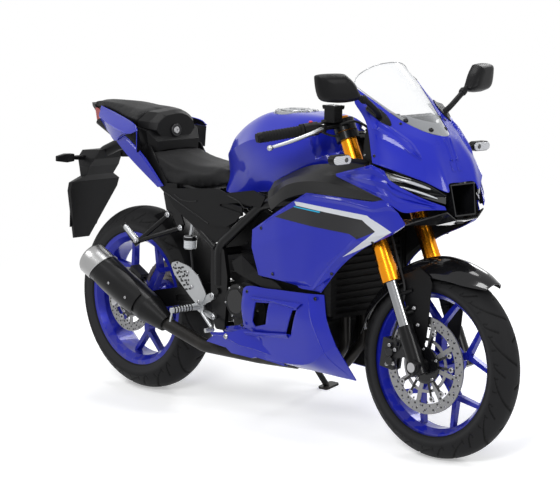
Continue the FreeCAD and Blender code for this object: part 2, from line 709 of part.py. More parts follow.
axle_hole = rod(front_axle + V(0, -200, 0), front_axle + V(0, 200, 0), axle_radius)


def clamp(along, half_depth):
    """A fork clamp: an eye round each leg and a bridge over the stem."""
    pieces = []
    for s in (1, -1):
        pieces.append(rod(steer_point(fork_offset, fork_y * s, along),
                          steer_point(fork_offset, fork_y * s, along + clamp_thickness),
                          fork_outer_radius + 11))
    outline = [(-half_depth, -26), (-half_depth, 26), (fork_offset - 20, fork_y), (fork_offset + 20, fork_y),
               (fork_offset + 8, 30), (fork_offset + 8, -30), (fork_offset + 20, -fork_y),
               (fork_offset - 20, -fork_y)]
    corners = [steer_point(f, side, along) for f, side in outline]
    bridge_plate = Part.Face(Part.makePolygon(corners + corners[:1])).extrude(steer_axis * clamp_thickness)
    holes = [rod(steer_point(fork_offset, fork_y * s, along - 1),
                 steer_point(fork_offset, fork_y * s, along + 60),
                 fork_outer_radius) for s in (1, -1)]
    return fuse([*pieces, bridge_plate]).cut(Part.makeCompound(holes))


stem = rod(steer_point(0, 0, lower_clamp_at + 4), steer_point(0, 0, upper_clamp_at + clamp_thickness + 8), 17)
stem_nut = rod(steer_point(0, 0, upper_clamp_at + clamp_thickness),
               steer_point(0, 0, upper_clamp_at + clamp_thickness + 10), 20)
fork_clamps = fuse([clamp(lower_clamp_at, 30), clamp(upper_clamp_at, 34), stem, stem_nut])

# Handlebars, grips, levers
bar_clamp_at = upper_clamp_at + clamp_thickness + 3
bar_clamp_to = fork_top - 3
bar_clamps, grips, levers, bars_solid = [], [], [], []
bar_radius = 11.0
grip_radius = 16.0
for s in (1, -1):
    ring_low = steer_point(fork_offset, fork_y * s, bar_clamp_at)
    ring_high = steer_point(fork_offset, fork_y * s, bar_clamp_to)
    middle = (ring_low + ring_high) * 0.5
    root = middle + V(2, 24 * s, 6)
    end = V(250, 352 * s, 958)
    reach = (end - root).normalize()
    collar = rod(ring_low, ring_high, fork_outer_radius + 9)
    bar = rod(root - reach * 4, end, bar_radius)
    bars_solid.append(fuse([collar, bar]).cut(
        rod(ring_low - steer_axis * 5, ring_high + steer_axis * 5, fork_outer_radius)))
    grip_from = root + reach * 122
    sleeve = rod(grip_from, end + reach * 3, grip_radius)
    flange = rod(grip_from - reach * 3, grip_from + reach * 5, grip_radius + 5)
    weight = rod(end + reach * 3, end + reach * 16, 12.5, 14)
    hole = rod(grip_from - reach * 6, end, bar_radius)
    grips.append(fuse([sleeve, flange]).cut(hole).fuse(weight).removeSplitter())
    pod_at = root + reach * 92
    pod = rod(pod_at - reach * 20, pod_at + reach * 24, 21).cut(
        rod(pod_at - reach * 30, pod_at + reach * 30, bar_radius))
    front = V(reach.y, -reach.x, 0).normalize() * s
    lever_root = root + reach * 62 + front * 26
    perch = rod(root + reach * 50, root + reach * 70, 17).fuse(
        [rod(root + reach * 60 + front * 10, lever_root, 9),
         rod(lever_root - V(0, 0, 12), lever_root + V(0, 0, 12), 10)])
    perch = perch.cut(rod(root + reach * 40, root + reach * 75, bar_radius))
    blade = tube([lever_root + V(0, 0, 0), lever_root + reach * 40 + front * 24,
                  lever_root + reach * 110 + front * 30,
                  lever_root + reach * 172 + front * 20], 6, 60)
    ball = Part.makeSphere(9, lever_root + reach * 176 + front * 19)
    levers.append((pod, perch, fuse([blade, ball]).cut(
        rod(lever_root - V(0, 0, 14), lever_root + V(0, 0, 14), 10))))
handlebars = Part.makeCompound(bars_solid)
handgrips = Part.makeCompound(grips)
switch_pods = Part.makeCompound([pod for pod, perch, blade in levers])
lever_perches = [perch for pod, perch, blade in levers]
lever_blades = Part.makeCompound([blade for pod, perch, blade in levers])
cup_at = V(365, -160, 1029)
reservoir = block((cup_at.x - 22, cup_at.x + 22), (cup_at.y - 20, cup_at.y + 20),
                  (cup_at.z - 24, cup_at.z + 16))
reservoir = reservoir.makeFillet(5, [e for e in reservoir.Edges
                                     if abs(e.Vertexes[0].Point.z - e.Vertexes[1].Point.z) > 1])
reservoir = fuse([reservoir, block((cup_at.x - 24, cup_at.x + 24), (cup_at.y - 22, cup_at.y + 22),
                                   (cup_at.z + 16, cup_at.z + 23))])
cup_neck = rod(cup_at - V(6, 8, 18), root + reach * 58 + V(0, 0, 15), 8).cut(rod(root, end, bar_radius))
lever_perches[1] = fuse([lever_perches[1], cup_neck, reservoir])
front_caliper_angle = 172.0
caliper_front = caliper(front_axle, front_disc_radius, front_disc_y, front_caliper_angle, 92, 42, 32)
bracket = side_plate([(front_axle.x - 60, front_axle.z + 52), (front_axle.x - 142, front_axle.z + 40),
                      (front_axle.x - 142, front_axle.z - 4), (front_axle.x - 40, front_axle.z + 24),
                      (front_axle.x - 10, front_axle.z + 34), (front_axle.x - 30, front_axle.z + 70)],
                     -92, front_disc_y - 15.5, 5)
caliper_front = fuse([caliper_front, bracket])

# Front mudguard: a crowned shell that follows the tyre, with a stay down each fork leg


def wheel_section(angle_deg, radius, half_width, drop):
    """Points over the tyre at one angle round the wheel, from the right edge to the left."""
    a = math.radians(angle_deg)
    out = V(math.cos(a), 0, math.sin(a))
    points = []
    for t in (-1, -0.86, -0.55, 0, 0.55, 0.86, 1):
        r = radius - drop * abs(t) ** 2.6
        points.append(front_axle + out * r + V(0, half_width * t, 0))
    return points


guard_cuts = [(168, 306, 60, 26), (150, 309, 68, 42), (120, 314, 72, 56), (95, 324, 72, 62),
              (78, 330, 68, 60),
              (63, 336, 58, 50), (52, 340, 34, 26)]
guard_columns = [wheel_section(*cut) for cut in guard_cuts]
front_guard = panel([[tuple(p) for p in column] for column in guard_columns], 3.0, 2, 1)
guard_stays = []
for s in (1, -1):
    stay_side = (fork_y - fork_outer_radius - 12) * s
    blade_side = stay_side + 8 * s
    guard_stays.append(side_plate([(590, 548), (652, 588), (700, 560), (680, 500), (660, 464), (634, 462),
                                   (622, 508)], stay_side - 2 * s, stay_side + 2 * s, 8))
    guard_stays.append(side_plate([(600, 560), (662, 580), (714, 545), (706, 460), (697, 372), (684, 345),
                                   (672, 345), (646, 384), (616, 450), (604, 510)],
                                  blade_side, blade_side + 3 * s, 8))
    for along, forward in ((470, 66), (530, 84)):
        boss = steer_point(forward, blade_side + 3 * s, along)
        guard_stays.append(rod((boss.x, stay_side - 2 * s, boss.z), boss, 8))
        guard_stays.append(rod(boss, steer_point(fork_offset, (fork_y - 10) * s, along), 6))
front_guard = fuse([front_guard, *guard_stays])

# Fuel tank: sections across the machine from the head to the seat


def tank_section(x, top, crown, shoulder, waist, low):
    """A closed section; each pair is half width and height, from the top down."""
    half = [(crown[0], crown[1]), (shoulder[0], shoulder[1]), (waist[0], waist[1]), (low[0], low[1])]
    right = [(x, -y, z) for y, z in half]
    left = [(x, y, z) for y, z in reversed(half)]
    return [(x, 0, top), *right, *left]


tank_cuts = [
    tank_section(318, 968, (50, 962), (84, 930), (96, 876), (76, 822)),
    tank_section(262, 1001, (60, 996), (112, 950), (126, 880), (98, 806)),
    tank_section(180, 1012, (74, 1004), (138, 948), (150, 872), (118, 790)),
    tank_section(80, 1011, (76, 1003), (146, 936), (150, 860), (118, 766)),
    tank_section(-20, 1004, (72, 996), (140, 920), (128, 836), (108, 752)),
    tank_section(-110, 972, (64, 960), (116, 890), (96, 812), (100, 738)),
    tank_section(-176, 934, (52, 920), (88, 866), (74, 800), (94, 735)),
    tank_section(-212, 912, (34, 900), (62, 850), (56, 800), (70, 742)),
]
tank_body = solid_loft(tank_cuts, (0, 2, 4, 5, 7))


def swept_room(side, near, far, along_from, along_to, spread):
    """The space that a round part of a fork leg passes through as the steering turns to its stops."""
    rest_turn = math.degrees(math.atan2(fork_y, fork_offset))
    reach_deg = lock_deg + spread
    a = math.radians(rest_turn - reach_deg)
    corners = [steer_point(r * math.cos(a), r * math.sin(a) * side, along)
               for r, along in ((near, along_from), (far, along_from), (far, along_to), (near, along_to))]
    face = Part.Face(Part.makePolygon(corners + corners[:1]))
    return face.revolve(steer_foot, steer_axis, 2 * reach_deg * side)


leg_turn_radius = math.hypot(fork_offset, fork_y)
bridge_room_radius = 75.0
clamp_spread_deg = 28.0
leg_spread_deg = 17.0
eye_room = fork_outer_radius + 11 + 6
leg_room = fork_outer_radius + 6
steering_room = [rod(steer_point(0, 0, upper_clamp_at - 8), steer_point(0, 0, fork_top + 40),
                     bridge_room_radius)]
for s in (1, -1):
    steering_room.append(swept_room(s, bridge_room_radius - 4, leg_turn_radius + eye_room, upper_clamp_at - 8,
                                    fork_top + 12, clamp_spread_deg))
    steering_room.append(swept_room(s, leg_turn_radius - leg_room, leg_turn_radius + leg_room, lower_clamp_at,
                                    fork_top + 12, leg_spread_deg))
for room in steering_room:
    tank_body = tank_body.cut(room)
cap_x, cap_z = 47.0, 1009.0
cap_radius = 62.0
cap_ring_radius = 70.0
cap_thickness = 9.0
tank_body = tank_body.cut(rod((cap_x, 0, cap_z - 16), (cap_x, 0, cap_z + 30), cap_ring_radius + 4))
neck = rod((cap_x, 0, cap_z - 130), (cap_x, 0, cap_z - 10), 26)
tank_body = tank_body.cut(neck)
tank_body = tank_body.cut(block((-60, 330), (-46, 46), (700, 846)))
hinge_x = cap_x + cap_ring_radius - 10
cap_ring = fuse([rod((cap_x, 0, cap_z - 16), (cap_x, 0, cap_z - 6), cap_ring_radius + 4 - fit_gap),
                 rod((cap_x, 0, cap_z - 6), (cap_x, 0, cap_z + 3), cap_ring_radius)])
cap_ring = cap_ring.cut(rod((cap_x, 0, cap_z - 6), (cap_x, 0, cap_z + 20), cap_radius - 8))
cap_ring = cap_ring.cut(rod((cap_x, 0, cap_z - 30), (cap_x, 0, cap_z + 20), 26))
cap_ring = cap_ring.cut(block((hinge_x - 12, hinge_x + 14), (-22, 22), (cap_z - 5.7, cap_z + 20)))
hinge_z = cap_z + 2
hinge_pin_radius = 2.0
ears = [block((hinge_x - 5, hinge_x + 5), (15 * s, 22 * s) if s > 0 else (-22, -15),
              (cap_z - 6, hinge_z + 5)) for s in (1, -1)]
pin = rod((hinge_x, -21, hinge_z), (hinge_x, 21, hinge_z), hinge_pin_radius)
cap_ring = fuse([cap_ring, *ears, pin])
lid = rod((cap_x, 0, cap_z - 5), (cap_x, 0, cap_z + 5), cap_radius - 13).fuse(
    [rod((cap_x, 0, cap_z - 18), (cap_x, 0, cap_z - 5), 20),
     block((cap_x + 30, hinge_x - 1), (-8, 8), (cap_z - 2, cap_z + 5)),
     rod((hinge_x, -9.5, hinge_z), (hinge_x, 9.5, hinge_z), 5)])
fuel_cap = lid.cut(rod((hinge_x, -30, hinge_z), (hinge_x, 30, hinge_z), hinge_pin_radius + 0.05))
fuel_cap = fuel_cap.removeSplitter()

# Seats


def seat_section(x, half_top, top, half_edge, edge, half_low, low):
    return [(x, 0, top), (x, -half_top, top - 6), (x, -half_edge, edge), (x, -half_low, low),
            (x, half_low, low), (x, half_edge, edge), (x, half_top, top - 6)]


rider_seat = solid_loft([
    seat_section(-186, 36, 800, 62, 786, 80, 757),
    seat_section(-222, 56, 811, 84, 797, 98, 750),
    seat_section(-266, 72, 809, 106, 784, 108, 740),
    seat_section(-350, 84, 808, 117, 783, 112, 728),
    seat_section(-430, 84, 818, 118, 788, 112, 722),
    seat_section(-500, 84, 832, 113, 812, 104, 740),
    seat_section(-560, 86, 842, 112, 832, 100, 772)], (0, 2, 3, 4, 5))
pillion_seat = solid_loft([
    seat_section(-614, 78, 968, 116, 934, 106, 908),
    seat_section(-700, 66, 973, 98, 942, 88, 914),
    seat_section(-790, 52, 980, 76, 955, 66, 930),
    seat_section(-880, 36, 979, 52, 962, 44, 942),
    seat_section(-952, 22, 971, 32, 961, 26, 950)], (0, 2, 3, 4, 5))

# Tail: blue sides in two folds, a black hump with the seat lock, and the black base under both


def hump_section(x, top, upper, corner, side, low, bottom):
    """A closed octagon across the tail; the pairs are half widths with their heights."""
    right = [(x, -y, z) for y, z in (upper, corner, side, low)]
    left = [(x, y, z) for y, z in (low, side, corner, upper)]
    return [(x, 0, top), *right, (x, 0, bottom), *left]


tail_hump = solid_loft([
    hump_section(-612, 967, (68, 962), (112, 934), (112, 914), (90, 894), 880),
    hump_section(-572, 965, (56, 960), (96, 931), (100, 908), (80, 886), 864),
    hump_section(-548, 955, (40, 951), (76, 926), (84, 904), (66, 884), 864)],
    (0, 1, 2, 3, 4, 5, 6, 7, 8), True)
lock_ring = rod((-556, 0, 900), (-543, 0, 900), 13).cut(rod((-546, 0, 900), (-540, 0, 900), 9))
tail_base = solid_loft([
    [(-536, -88, 822), (-536, -92, 868), (-536, 92, 868), (-536, 88, 822)],
    [(-560, -104, 822), (-566, -112, 902), (-566, 112, 902), (-560, 104, 822)],
    [(-612, -112, 846), (-616, -124, 914), (-616, 124, 914), (-612, 112, 846)],
    [(-740, -84, 868), (-740, -94, 924), (-740, 94, 924), (-740, 84, 868)],
    [(-880, -46, 900), (-880, -50, 950), (-880, 50, 950), (-880, 46, 900)],
    [(-984, -10, 950), (-984, -12, 962), (-984, 12, 962), (-984, 10, 950)]], (0, 1, 2, 3), True)
tail_base = tail_base.cut(solid_loft([
    [(-580, -70, 790), (-580, -70, 878), (-580, 70, 878), (-580, 70, 790)],
    [(-860, -36, 850), (-860, -36, 905), (-860, 36, 905), (-860, 36, 850)]], (0, 1, 2, 3), True))
tail_base = tail_base.cut(pillion_seat)
tail_top = fuse([tail_base.cut(tail_hump), tail_hump, lock_ring])
strip_columns = [
    [(-461, -128, 729), (-495, -124, 721)],
    [(-557, -136, 824), (-632, -126, 802)],
    [(-668, -132, 887), (-728, -116, 859)]]
tail_columns = [
    [(-566, -156, 906), (-603, -152, 893), (-663, -137, 884)],
    [(-601, -140, 927), (-660, -140, 893), (-724, -121, 857)],
    [(-745, -92, 946), (-770, -108, 905), (-800, -86, 876)],
    [(-888, -48, 960), (-884, -62, 925), (-860, -60, 890)]]
tail_strip = panel(strip_columns[::-1], 4.0, 2, 1)
tail_side = panel(tail_columns[::-1], 4.0, 2, 1)
strip_post = post_to(tail_strip, (-560, -70, 770), (-572, -150, 800), 6)
side_post = post_to(tail_side, (-700, -76, 838), (-716, -150, 900), 6)
tail_front = panel([
    [(-569, -155, 902), (-600, -126, 908)],
    [(-574, -152, 832), (-580, -124, 836)]], 4.0, 1, 1)
tail_cowl = both_sides(fuse([tail_strip, tail_side, tail_front, strip_post, side_post]))
tail_light = side_plate([(-878, 896), (-896, 944), (-932, 950), (-922, 906)], -40, 40, 4)

# Number plate holder and rear mudguard
plate_holder = fuse([
    tube([(-740, 0, 846), (-850, 0, 826), (-925, 0, 796), (-960, 0, 770)], 20, 60),
    solid_loft([
        [(-900, -44, 806), (-1004, -40, 796), (-1004, 40, 796), (-900, 44, 806)],
        [(-912, -58, 772), (-1012, -54, 770), (-1012, 54, 770), (-912, 58, 772)],
        [(-934, -66, 745), (-992, -64, 742), (-992, 64, 742), (-934, 66, 745)],
        [(-956, -60, 712), (-990, -60, 708), (-990, 60, 708), (-956, 60, 712)],
        [(-978, -104, 690), (-1000, -104, 686), (-1000, 104, 686), (-978, 104, 690)],
        [(-990, -104, 660), (-1008, -104, 657), (-1008, 104, 657), (-990, 104, 660)],
        [(-1060, -33, 478), (-1070, -33, 476), (-1070, 33, 476), (-1060, 33, 478)]], (0, 1, 2, 3), True)])
rear_lamps = []
front_lamps = []
for s in (1, -1):
    rear_lamps.append(fuse([rod((-980, 55 * s, 773), (-978, 112 * s, 776), 7),
                            solid_loft([[(-988, 108 * s, 766), (-966, 108 * s, 766), (-966, 108 * s, 788),
                                         (-988, 108 * s, 788)],
                                        [(-990, 140 * s, 764), (-962, 140 * s, 764), (-962, 140 * s, 790),
                                         (-990, 140 * s, 790)],
                                        [(-984, 176 * s, 770), (-970, 176 * s, 770), (-970, 176 * s, 784),
                                         (-984, 176 * s, 784)]],
                                       (0, 1, 2, 3))]))
    front_lamps.append(fuse([rod((560, 192 * s, 905), (556, 270 * s, 920), 7),
                             solid_loft([[(545, 264 * s, 908), (570, 264 * s, 908), (570, 264 * s, 932),
                                          (545, 264 * s, 932)],
                                         [(538, 300 * s, 906), (568, 300 * s, 906), (568, 300 * s, 936),
                                          (538, 300 * s, 936)],
                                         [(542, 340 * s, 912), (556, 340 * s, 912), (556, 340 * s, 930),
                                          (542, 340 * s, 930)]],
                                        (0, 1, 2, 3))]))
rear_indicators = Part.makeCompound(rear_lamps)

# Upper cowl: a bonnet with a middle ridge that runs round to the rear edges beside the screen
cowl_columns = [
    [(436, -142, 1128), (470, -160, 1074), (528, -166, 1014), (590, -202, 908)],
    [(513, -116, 1080), (536, -146, 1046), (574, -170, 996), (622, -194, 900)],
    [(590, -86, 1029), (616, -118, 1000), (650, -142, 952), (670, -170, 885)],
    [(650, -56, 1000), (676, -82, 974), (708, -104, 922), (736, -122, 858)],
    [(676, -38, 990), (700, -58, 962), (738, -74, 904), (774, -68, 827)],
    [(690, -22, 986), (708, -34, 957), (738, -44, 905), (765, -54, 850)],
    [(701, 0, 983), (714, 0, 955), (738, 0, 903), (759, 0, 850)]]
upper_cowl = panel(cowl_columns, panel_thickness, 2, 2, whole=True)

windscreen = panel([
    [(442, -136, 1128), (441, -136, 1127.5)],
    [(430, -112, 1150), (512, -112, 1080)],
    [(444, -82, 1172), (588, -82, 1029)],
    [(456, -50, 1184), (648, -53, 1000)],
    [(463, -22, 1188), (688, -20, 986)],
    [(464, 0, 1189), (698, 0, 983)]], 3.0, 1, 4, whole=True)

# Side fairings: the main side with the cheek under the headlight, drawn for the right side
side_columns = [
    [(48, -190, 646), (52, -196, 590), (74, -186, 504), (80, -174, 500)],
    [(180, -204, 720), (190, -210, 630), (195, -190, 500), (200, -176, 494)],
    [(311, -206, 791), (340, -212, 690), (290, -190, 512), (340, -168, 480)],
    [(470, -206, 792), (470, -204, 730), (430, -186, 612), (424, -160, 574)],
    [(590, -204, 792), (580, -200, 742), (530, -180, 668), (520, -160, 640)],
    [(640, -198, 800), (650, -186, 756), (645, -174, 700), (630, -162, 690)],
    [(674, -174, 764), (684, -170, 748), (692, -162, 729), (680, -154, 722)]]
side_panel = panel(side_columns[::-1], panel_thickness, 2, 2)
cheek_columns = [
    [(440, -207, 862), (442, -208, 858), (444, -208, 854)],
    [(590, -207, 903), (604, -212, 854), (634, -206, 806)],
    [(634, -197, 888), (644, -199, 848), (656, -191, 788)],
    [(656, -186, 857), (668, -182, 824), (690, -166, 766)],
    [(720, -137, 815), (724, -137, 800), (735, -127, 774)],
    [(780, -86, 786), (781, -84, 781), (782, -82, 776)]]
cheek = panel(cheek_columns[::-1], panel_thickness, 2, 1)
cheek_tie = rod((650, -188, 768), (638, -200, 816), 4)
fairing_posts = [post_to(side_panel, (232, -122, 756), (240, -240, 724), 6),
                 post_to(side_panel, (366, -158, 580), (392, -240, 612), 6)]
side_fairings = both_sides(fuse([side_panel, cheek, cheek_tie, *fairing_posts]))

# Black wing trim along the top of each side
wing_columns = [
    [(96, -168, 770), (110, -182, 742), (132, -188, 716)],
    [(220, -188, 826), (225, -210, 806), (226, -202, 766)],
    [(360, -198, 850), (362, -218, 832), (362, -206, 796)],
    [(500, -200, 846), (505, -216, 826), (505, -208, 800)],
    [(632, -206, 808), (634, -206, 805), (636, -206, 802)]]
wing = panel(wing_columns[::-1], 4.0, 2, 2)
trim_columns = [
    [(96, -142, 800), (96, -166, 769)],
    [(250, -150, 862), (220, -186, 824)],
    [(400, -170, 888), (360, -196, 848)],
    [(560, -188, 912), (500, -198, 845)]]
trim = panel(trim_columns[::-1], 4.0, 2, 1)
wing_post = post_to(wing, (225, -120, 758), (225, -250, 806), 6)
wing_trims = both_sides(fuse([wing, trim, wing_post]))

# Belly pan: a side with a turned-in lip, and windows behind the front edge
belly_columns = [
    [(-150, -136, 300), (-150, -138, 290), (-150, -132, 282), (-148, -112, 276)],
    [(-20, -160, 340), (-20, -162, 300), (-20, -140, 240), (-16, -100, 226)],
    [(0, -182, 452), (0, -184, 380), (20, -152, 240), (24, -96, 218)],
    [(120, -186, 466), (122, -188, 390), (120, -158, 232), (122, -92, 210)],
    [(250, -186, 472), (262, -190, 392), (270, -158, 244), (270, -86, 206)],
    [(300, -184, 474), (318, -188, 394), (346, -160, 290), (350, -84, 204)],
    [(352, -166, 475), (368, -168, 394), (392, -152, 318), (420, -90, 206)]]
belly_side = panel(belly_columns[::-1], panel_thickness, 2, 2)
window = side_plate([(92, 440), (170, 446), (176, 352), (104, 346)], -220, -120, 8)
slot = side_plate([(244, 436), (272, 440), (296, 330), (272, 326)], -220, -120, 5)
belly_side = belly_side.cut(window).cut(slot)
belly_posts = [post_to(belly_side, (60, -108, 300), (60, -230, 300), 7),
               post_to(belly_side, (366, -158, 440), (366, -230, 440), 7)]
belly_pan = both_sides(fuse([belly_side, *belly_posts]))

# Nose: air mouth, chin and the dark headlight housings
def mouth(x, grow):
    return [(x, -52 - grow, 848 + grow), (x + (16 if x > 700 else 0), -44 - grow, 753 - grow),
            (x + (16 if x > 700 else 0), 44 + grow, 753 - grow), (x, 52 + grow, 848 + grow)]


air_mouth = solid_loft([mouth(768, 0), mouth(640, -8)], (0, 1, 2, 3), True).cut(
    solid_loft([mouth(770, -4), mouth(645, -12)], (0, 1, 2, 3), True))
chin = panel([
    [(782, 78, 770), (692, 162, 731), (640, 120, 735)],
    [(788, 46, 746), (720, 60, 726), (640, 50, 735)],
    [(790, 0, 744), (725, 0, 722), (640, 0, 735)]], 4.0, 1, 1, whole=True)
nose_duct = fuse([air_mouth, chin, block((690, 762), (-14, 14), (726, 758))])
housings = []
for s in (1, -1):
    outer = [(612, -186, 884), (730, -112, 846), (764, -66, 812), (772, -74, 792), (722, -124, 812),
             (634, -182, 858)]
    inner = [(590, -160, 880), (690, -84, 836), (716, -58, 806), (716, -58, 792), (690, -92, 806),
             (600, -160, 860)]
    housings.append(bridged([(x, y * -s, z) for x, y, z in outer], [(x, y * -s, z) for x, y, z in inner]))
headlights = Part.makeCompound(housings)

# Instruments and the black stay that carries the nose
instruments = solid_loft([
    [(585, -70, 1034), (585, 70, 1034), (600, 70, 968), (600, -70, 968)],
    [(560, -78, 1038), (560, 78, 1038), (574, 78, 962), (574, -78, 962)]], (0, 1, 2, 3), True)
stay_root = steer_point(24, 0, 945)
stay_pieces = [tube([stay_root, (520, 0, 890), (604, 0, 905)], 11, 40),
               tube([(600, -150, 880), (600, 0, 905), (600, 150, 880)], 9, 40),
               rod((600, 0, 905), (652, 0, 842), 8)]
for s in (1, -1):
    stay_pieces.append(tube([(600, -60 * s, 900), (560, -60 * s, 976)], 8))
    stay_pieces.append(post_to(upper_cowl, (600, -146 * s, 882), (616, -240 * s, 890), 8))
    stay_pieces.append(side_plate([(498, 912), (560, 894), (600, 876), (600, 912), (556, 985), (540, 1000),
                                   (507, 1000)], -146 * s, -150 * s, 4))
cowl_stay = fuse(stay_pieces)

# Mirrors on stalks
mirror_outline = [(512, -372, 1160), (515, -360, 1174), (536, -289, 1175), (541, -272, 1167),
                  (547, -252, 1148),
                  (551, -237, 1124), (553, -228, 1101), (545, -257, 1090), (529, -312, 1089),
                  (516, -357, 1102)]
mirror_deep = V(0.96, -0.27, 0) * 42
mirror_centre = V(533, -300, 1134)


def mirror_ring(size, depth):
    ring = [mirror_centre + (V(*p) - mirror_centre) * size + mirror_deep * depth for p in mirror_outline]
    return [(p.x, p.y, p.z) for p in ring]


mirror_head = fuse([bridged(mirror_ring(1, 0), mirror_ring(0.97, 0.35)),
                    bridged(mirror_ring(0.97, 0.35), mirror_ring(0.72, 1))])
mirror_stalk = tube([(554, -250, 1112), (566, -206, 1090), (566, -160, 1056), (560, -146, 1044)], 9, 24)
mirror_base = bridged([(505, -150, 1066), (524, -166, 1058), (592, -142, 1010), (584, -126, 1022)],
                      [(505, -158, 1070), (526, -172, 1064), (592, -150, 1018), (584, -136, 1032)])
mirror_foot = post_to(upper_cowl, (556, -152, 1044), (540, -100, 1012), 12)
mirrors = both_sides(fuse([mirror_head, mirror_stalk, mirror_base, mirror_foot]))

# Side covers between the frame tubes and under the seat
cover_outline = [(-440, 722), (-192, 630), (-118, 632), (-71, 656), (-44, 684), (-176, 700), (-60, 716),
                 (44, 712), (68, 748), (10, 764), (-118, 742), (-159, 752), (-403, 729)]
side_cover = side_plate(cover_outline, -149, -153, 4)
cover_fold = side_plate([(-190, 634), (-44, 676), (-48, 704), (-180, 712)], -145, -149)
cover_posts = [rod((-300, -120, 700), (-300, -150, 700), 6), rod((0, -128, 724), (0, -150, 724), 6)]
vent_blade = side_plate([(-64, 528), (-18, 556), (58, 512), (150, 486), (176, 470), (110, 458), (-10, 488),
                         (-50, 500)], -172, -176, 3)
vent_post = rod((20, -112, 470), (24, -174, 486), 7)
side_cover = fuse([side_cover, cover_fold, *cover_posts])
side_cover = Part.makeCompound([side_cover, fuse([vent_blade, vent_post])])
side_covers = both_sides(side_cover)

radiator = block((352, 378), (-150, 150), (400, 660))
for i in range(11):
    radiator = radiator.cut(block((370, 380), (-138, 138), (414 + 21.5 * i, 426 + 21.5 * i)))
radiator = fuse([radiator, block((350, 380), (-164, -150), (410, 650)),
                 block((350, 380), (150, 164), (410, 650)),
                 *[rod((201, 112 * s, 700), (201, 126 * s, 700), 9) for s in (1, -1)],
                 *[rod((201, 119.5 * s, 700), (362, 151 * s, 645), 6) for s in (1, -1)]])

# Exhaust: two headers that meet under the engine, and the silencer on the right
header_a = tube([(255, -45, 636), (318, -45, 600), (322, -42, 300), (250, -36, 212), (60, -30, 205)], 17, 60)
header_b = tube([(255, 45, 636), (318, 45, 600), (322, 40, 300), (250, 20, 212), (60, -22, 205)], 17, 60)
collector = tube([(90, -28, 206), (-60, -60, 206), (-240, -136, 226), (-400, -164, 280), (-440, -168, 300)],
                 22, 80)
exhaust = fuse([header_a, header_b, collector])
muffler_from, muffler_to = V(-400, -164, 280), V(-745, -205, 462)
muffler_way = (muffler_to - muffler_from).normalize()
muffler = fuse([
    rod(muffler_from, muffler_from + muffler_way * 90, 30, 50),
    rod(muffler_from + muffler_way * 90, muffler_to, 50, 54)])
end_cut = Part.makeBox(300, 300, 300, V(-150, -150, 0))
end_cut.Placement = FreeCAD.Placement(muffler_to + V(16, 0, -8),
                                      FreeCAD.Rotation(V(0, 0, 1), V(-0.97, -0.1, -0.22)))
muffler = muffler.cut(end_cut)
muffler = muffler.cut(rod(muffler_to - muffler_way * 60, muffler_to + muffler_way * 30, 17))

# Foot controls
peg_brackets = []
bracket_outline = [(-192, 408), (-172, 404), (-176, 390), (-226, 366), (-222, 350), (-174, 342), (-168, 326),
                   (-184, 322), (-246, 338), (-268, 348), (-268, 366), (-246, 380)]
guard_outline = [(-388, 483), (-356, 493), (-295, 482), (-248, 456), (-209, 402), (-232, 366), (-262, 366),
                 (-295, 390), (-368, 447)]
for s in (1, -1):
    y = (plate_y + plate_thickness) * s
    plate = side_plate(bracket_outline, y, y + 8 * s, 5)
    peg = rod((-250, y + 4 * s, 357), (-276, y + 104 * s, 350), 12, 9)
    feeler = rod((-276, y + 98 * s, 348), (-286, y + 99 * s, 312), 3)
    guard = side_plate(guard_outline, y + 7 * s, y + 11 * s, 10)
    for row in range(4):
        for place in range(3):
            x, z = -372 + 19 * row + 9 * place, 470 - 17 * row + 9 * place
            guard = guard.cut(rod((x, y, z), (x, y + 20 * s, z), 4))
    lever = fuse([tube([(-232, y + 4 * s, 352), (-216, y + 21 * s, 340), (-150, y + 39 * s, 306),
                        (-138, y + 45 * s, 300)], 6, 14),
                  rod((-140, y + 39 * s, 300), (-146, y + 69 * s, 298), 7.5)])
    peg_brackets.append(fuse([plate, peg, feeler, guard, lever]))
pillion_pegs = []
for s in (1, -1):
    apex = V(-544, 165 * s, 539)
    pillion_pegs.append(fuse([rod((-440, 119 * s, 636), apex, 8), rod((-375, 119 * s, 599), apex, 8),
                              rod(apex - V(4, 0, 14), V(-595, 190 * s, 594), 10, 8)]))
pillion_brackets = Part.makeCompound(pillion_pegs)
fluid_cup = fuse([rod((-330, -122, 534), (-330, -122, 566), 19),
                  rod((-330, -122, 566), (-330, -122, 576), 21),
                  rod((-330, -122, 570), (-316, -122, 634), 6)])

# Side stand: it leans out and forward when it is down
stand_pivot = V(-150, 165, 262)
stand_foot = V(-95, 285, 53)
stand_down = (stand_foot - stand_pivot).normalize()
stand_up = V(-0.98, 0.12, 0.05).normalize()
stand_axis = stand_down.cross(stand_up).normalize()
tongue_side = stand_down.cross(stand_axis).normalize() * 11
tongue_points = [stand_pivot - tongue_side, stand_pivot + tongue_side,
                 stand_pivot + stand_down * 44 + tongue_side,
                 stand_pivot + stand_down * 44 - tongue_side]
tongue = Part.Face(Part.makePolygon(tongue_points + tongue_points[:1])).extrude(stand_axis * 10)
tongue.translate(stand_axis * -5)
stand_leg = fuse([rod(stand_pivot + stand_down * 30, stand_foot - stand_down * 6, 10), tongue])
stand_eye = rod(stand_pivot - stand_axis * 5, stand_pivot + stand_axis * 5, 15)
stand_bore = rod(stand_pivot - stand_axis * 30, stand_pivot + stand_axis * 30, 6 + 0.05)
side_stand = fuse([stand_leg, stand_eye]).cut(stand_bore)
up_plane = (V(0, 0, 1) - stand_axis * stand_axis.z).normalize()
side_plane = up_plane.cross(stand_axis).normalize()
tab_at = stand_pivot - stand_axis * (5 + fit_gap)
tab_points = [tab_at + side_plane * 15 - up_plane * 14, tab_at + side_plane * 15 + up_plane * 46,
              tab_at - side_plane * 15 + up_plane * 46, tab_at - side_plane * 15 - up_plane * 14]
tab = Part.Face(Part.makePolygon(tab_points + tab_points[:1])).extrude(stand_axis * -7)
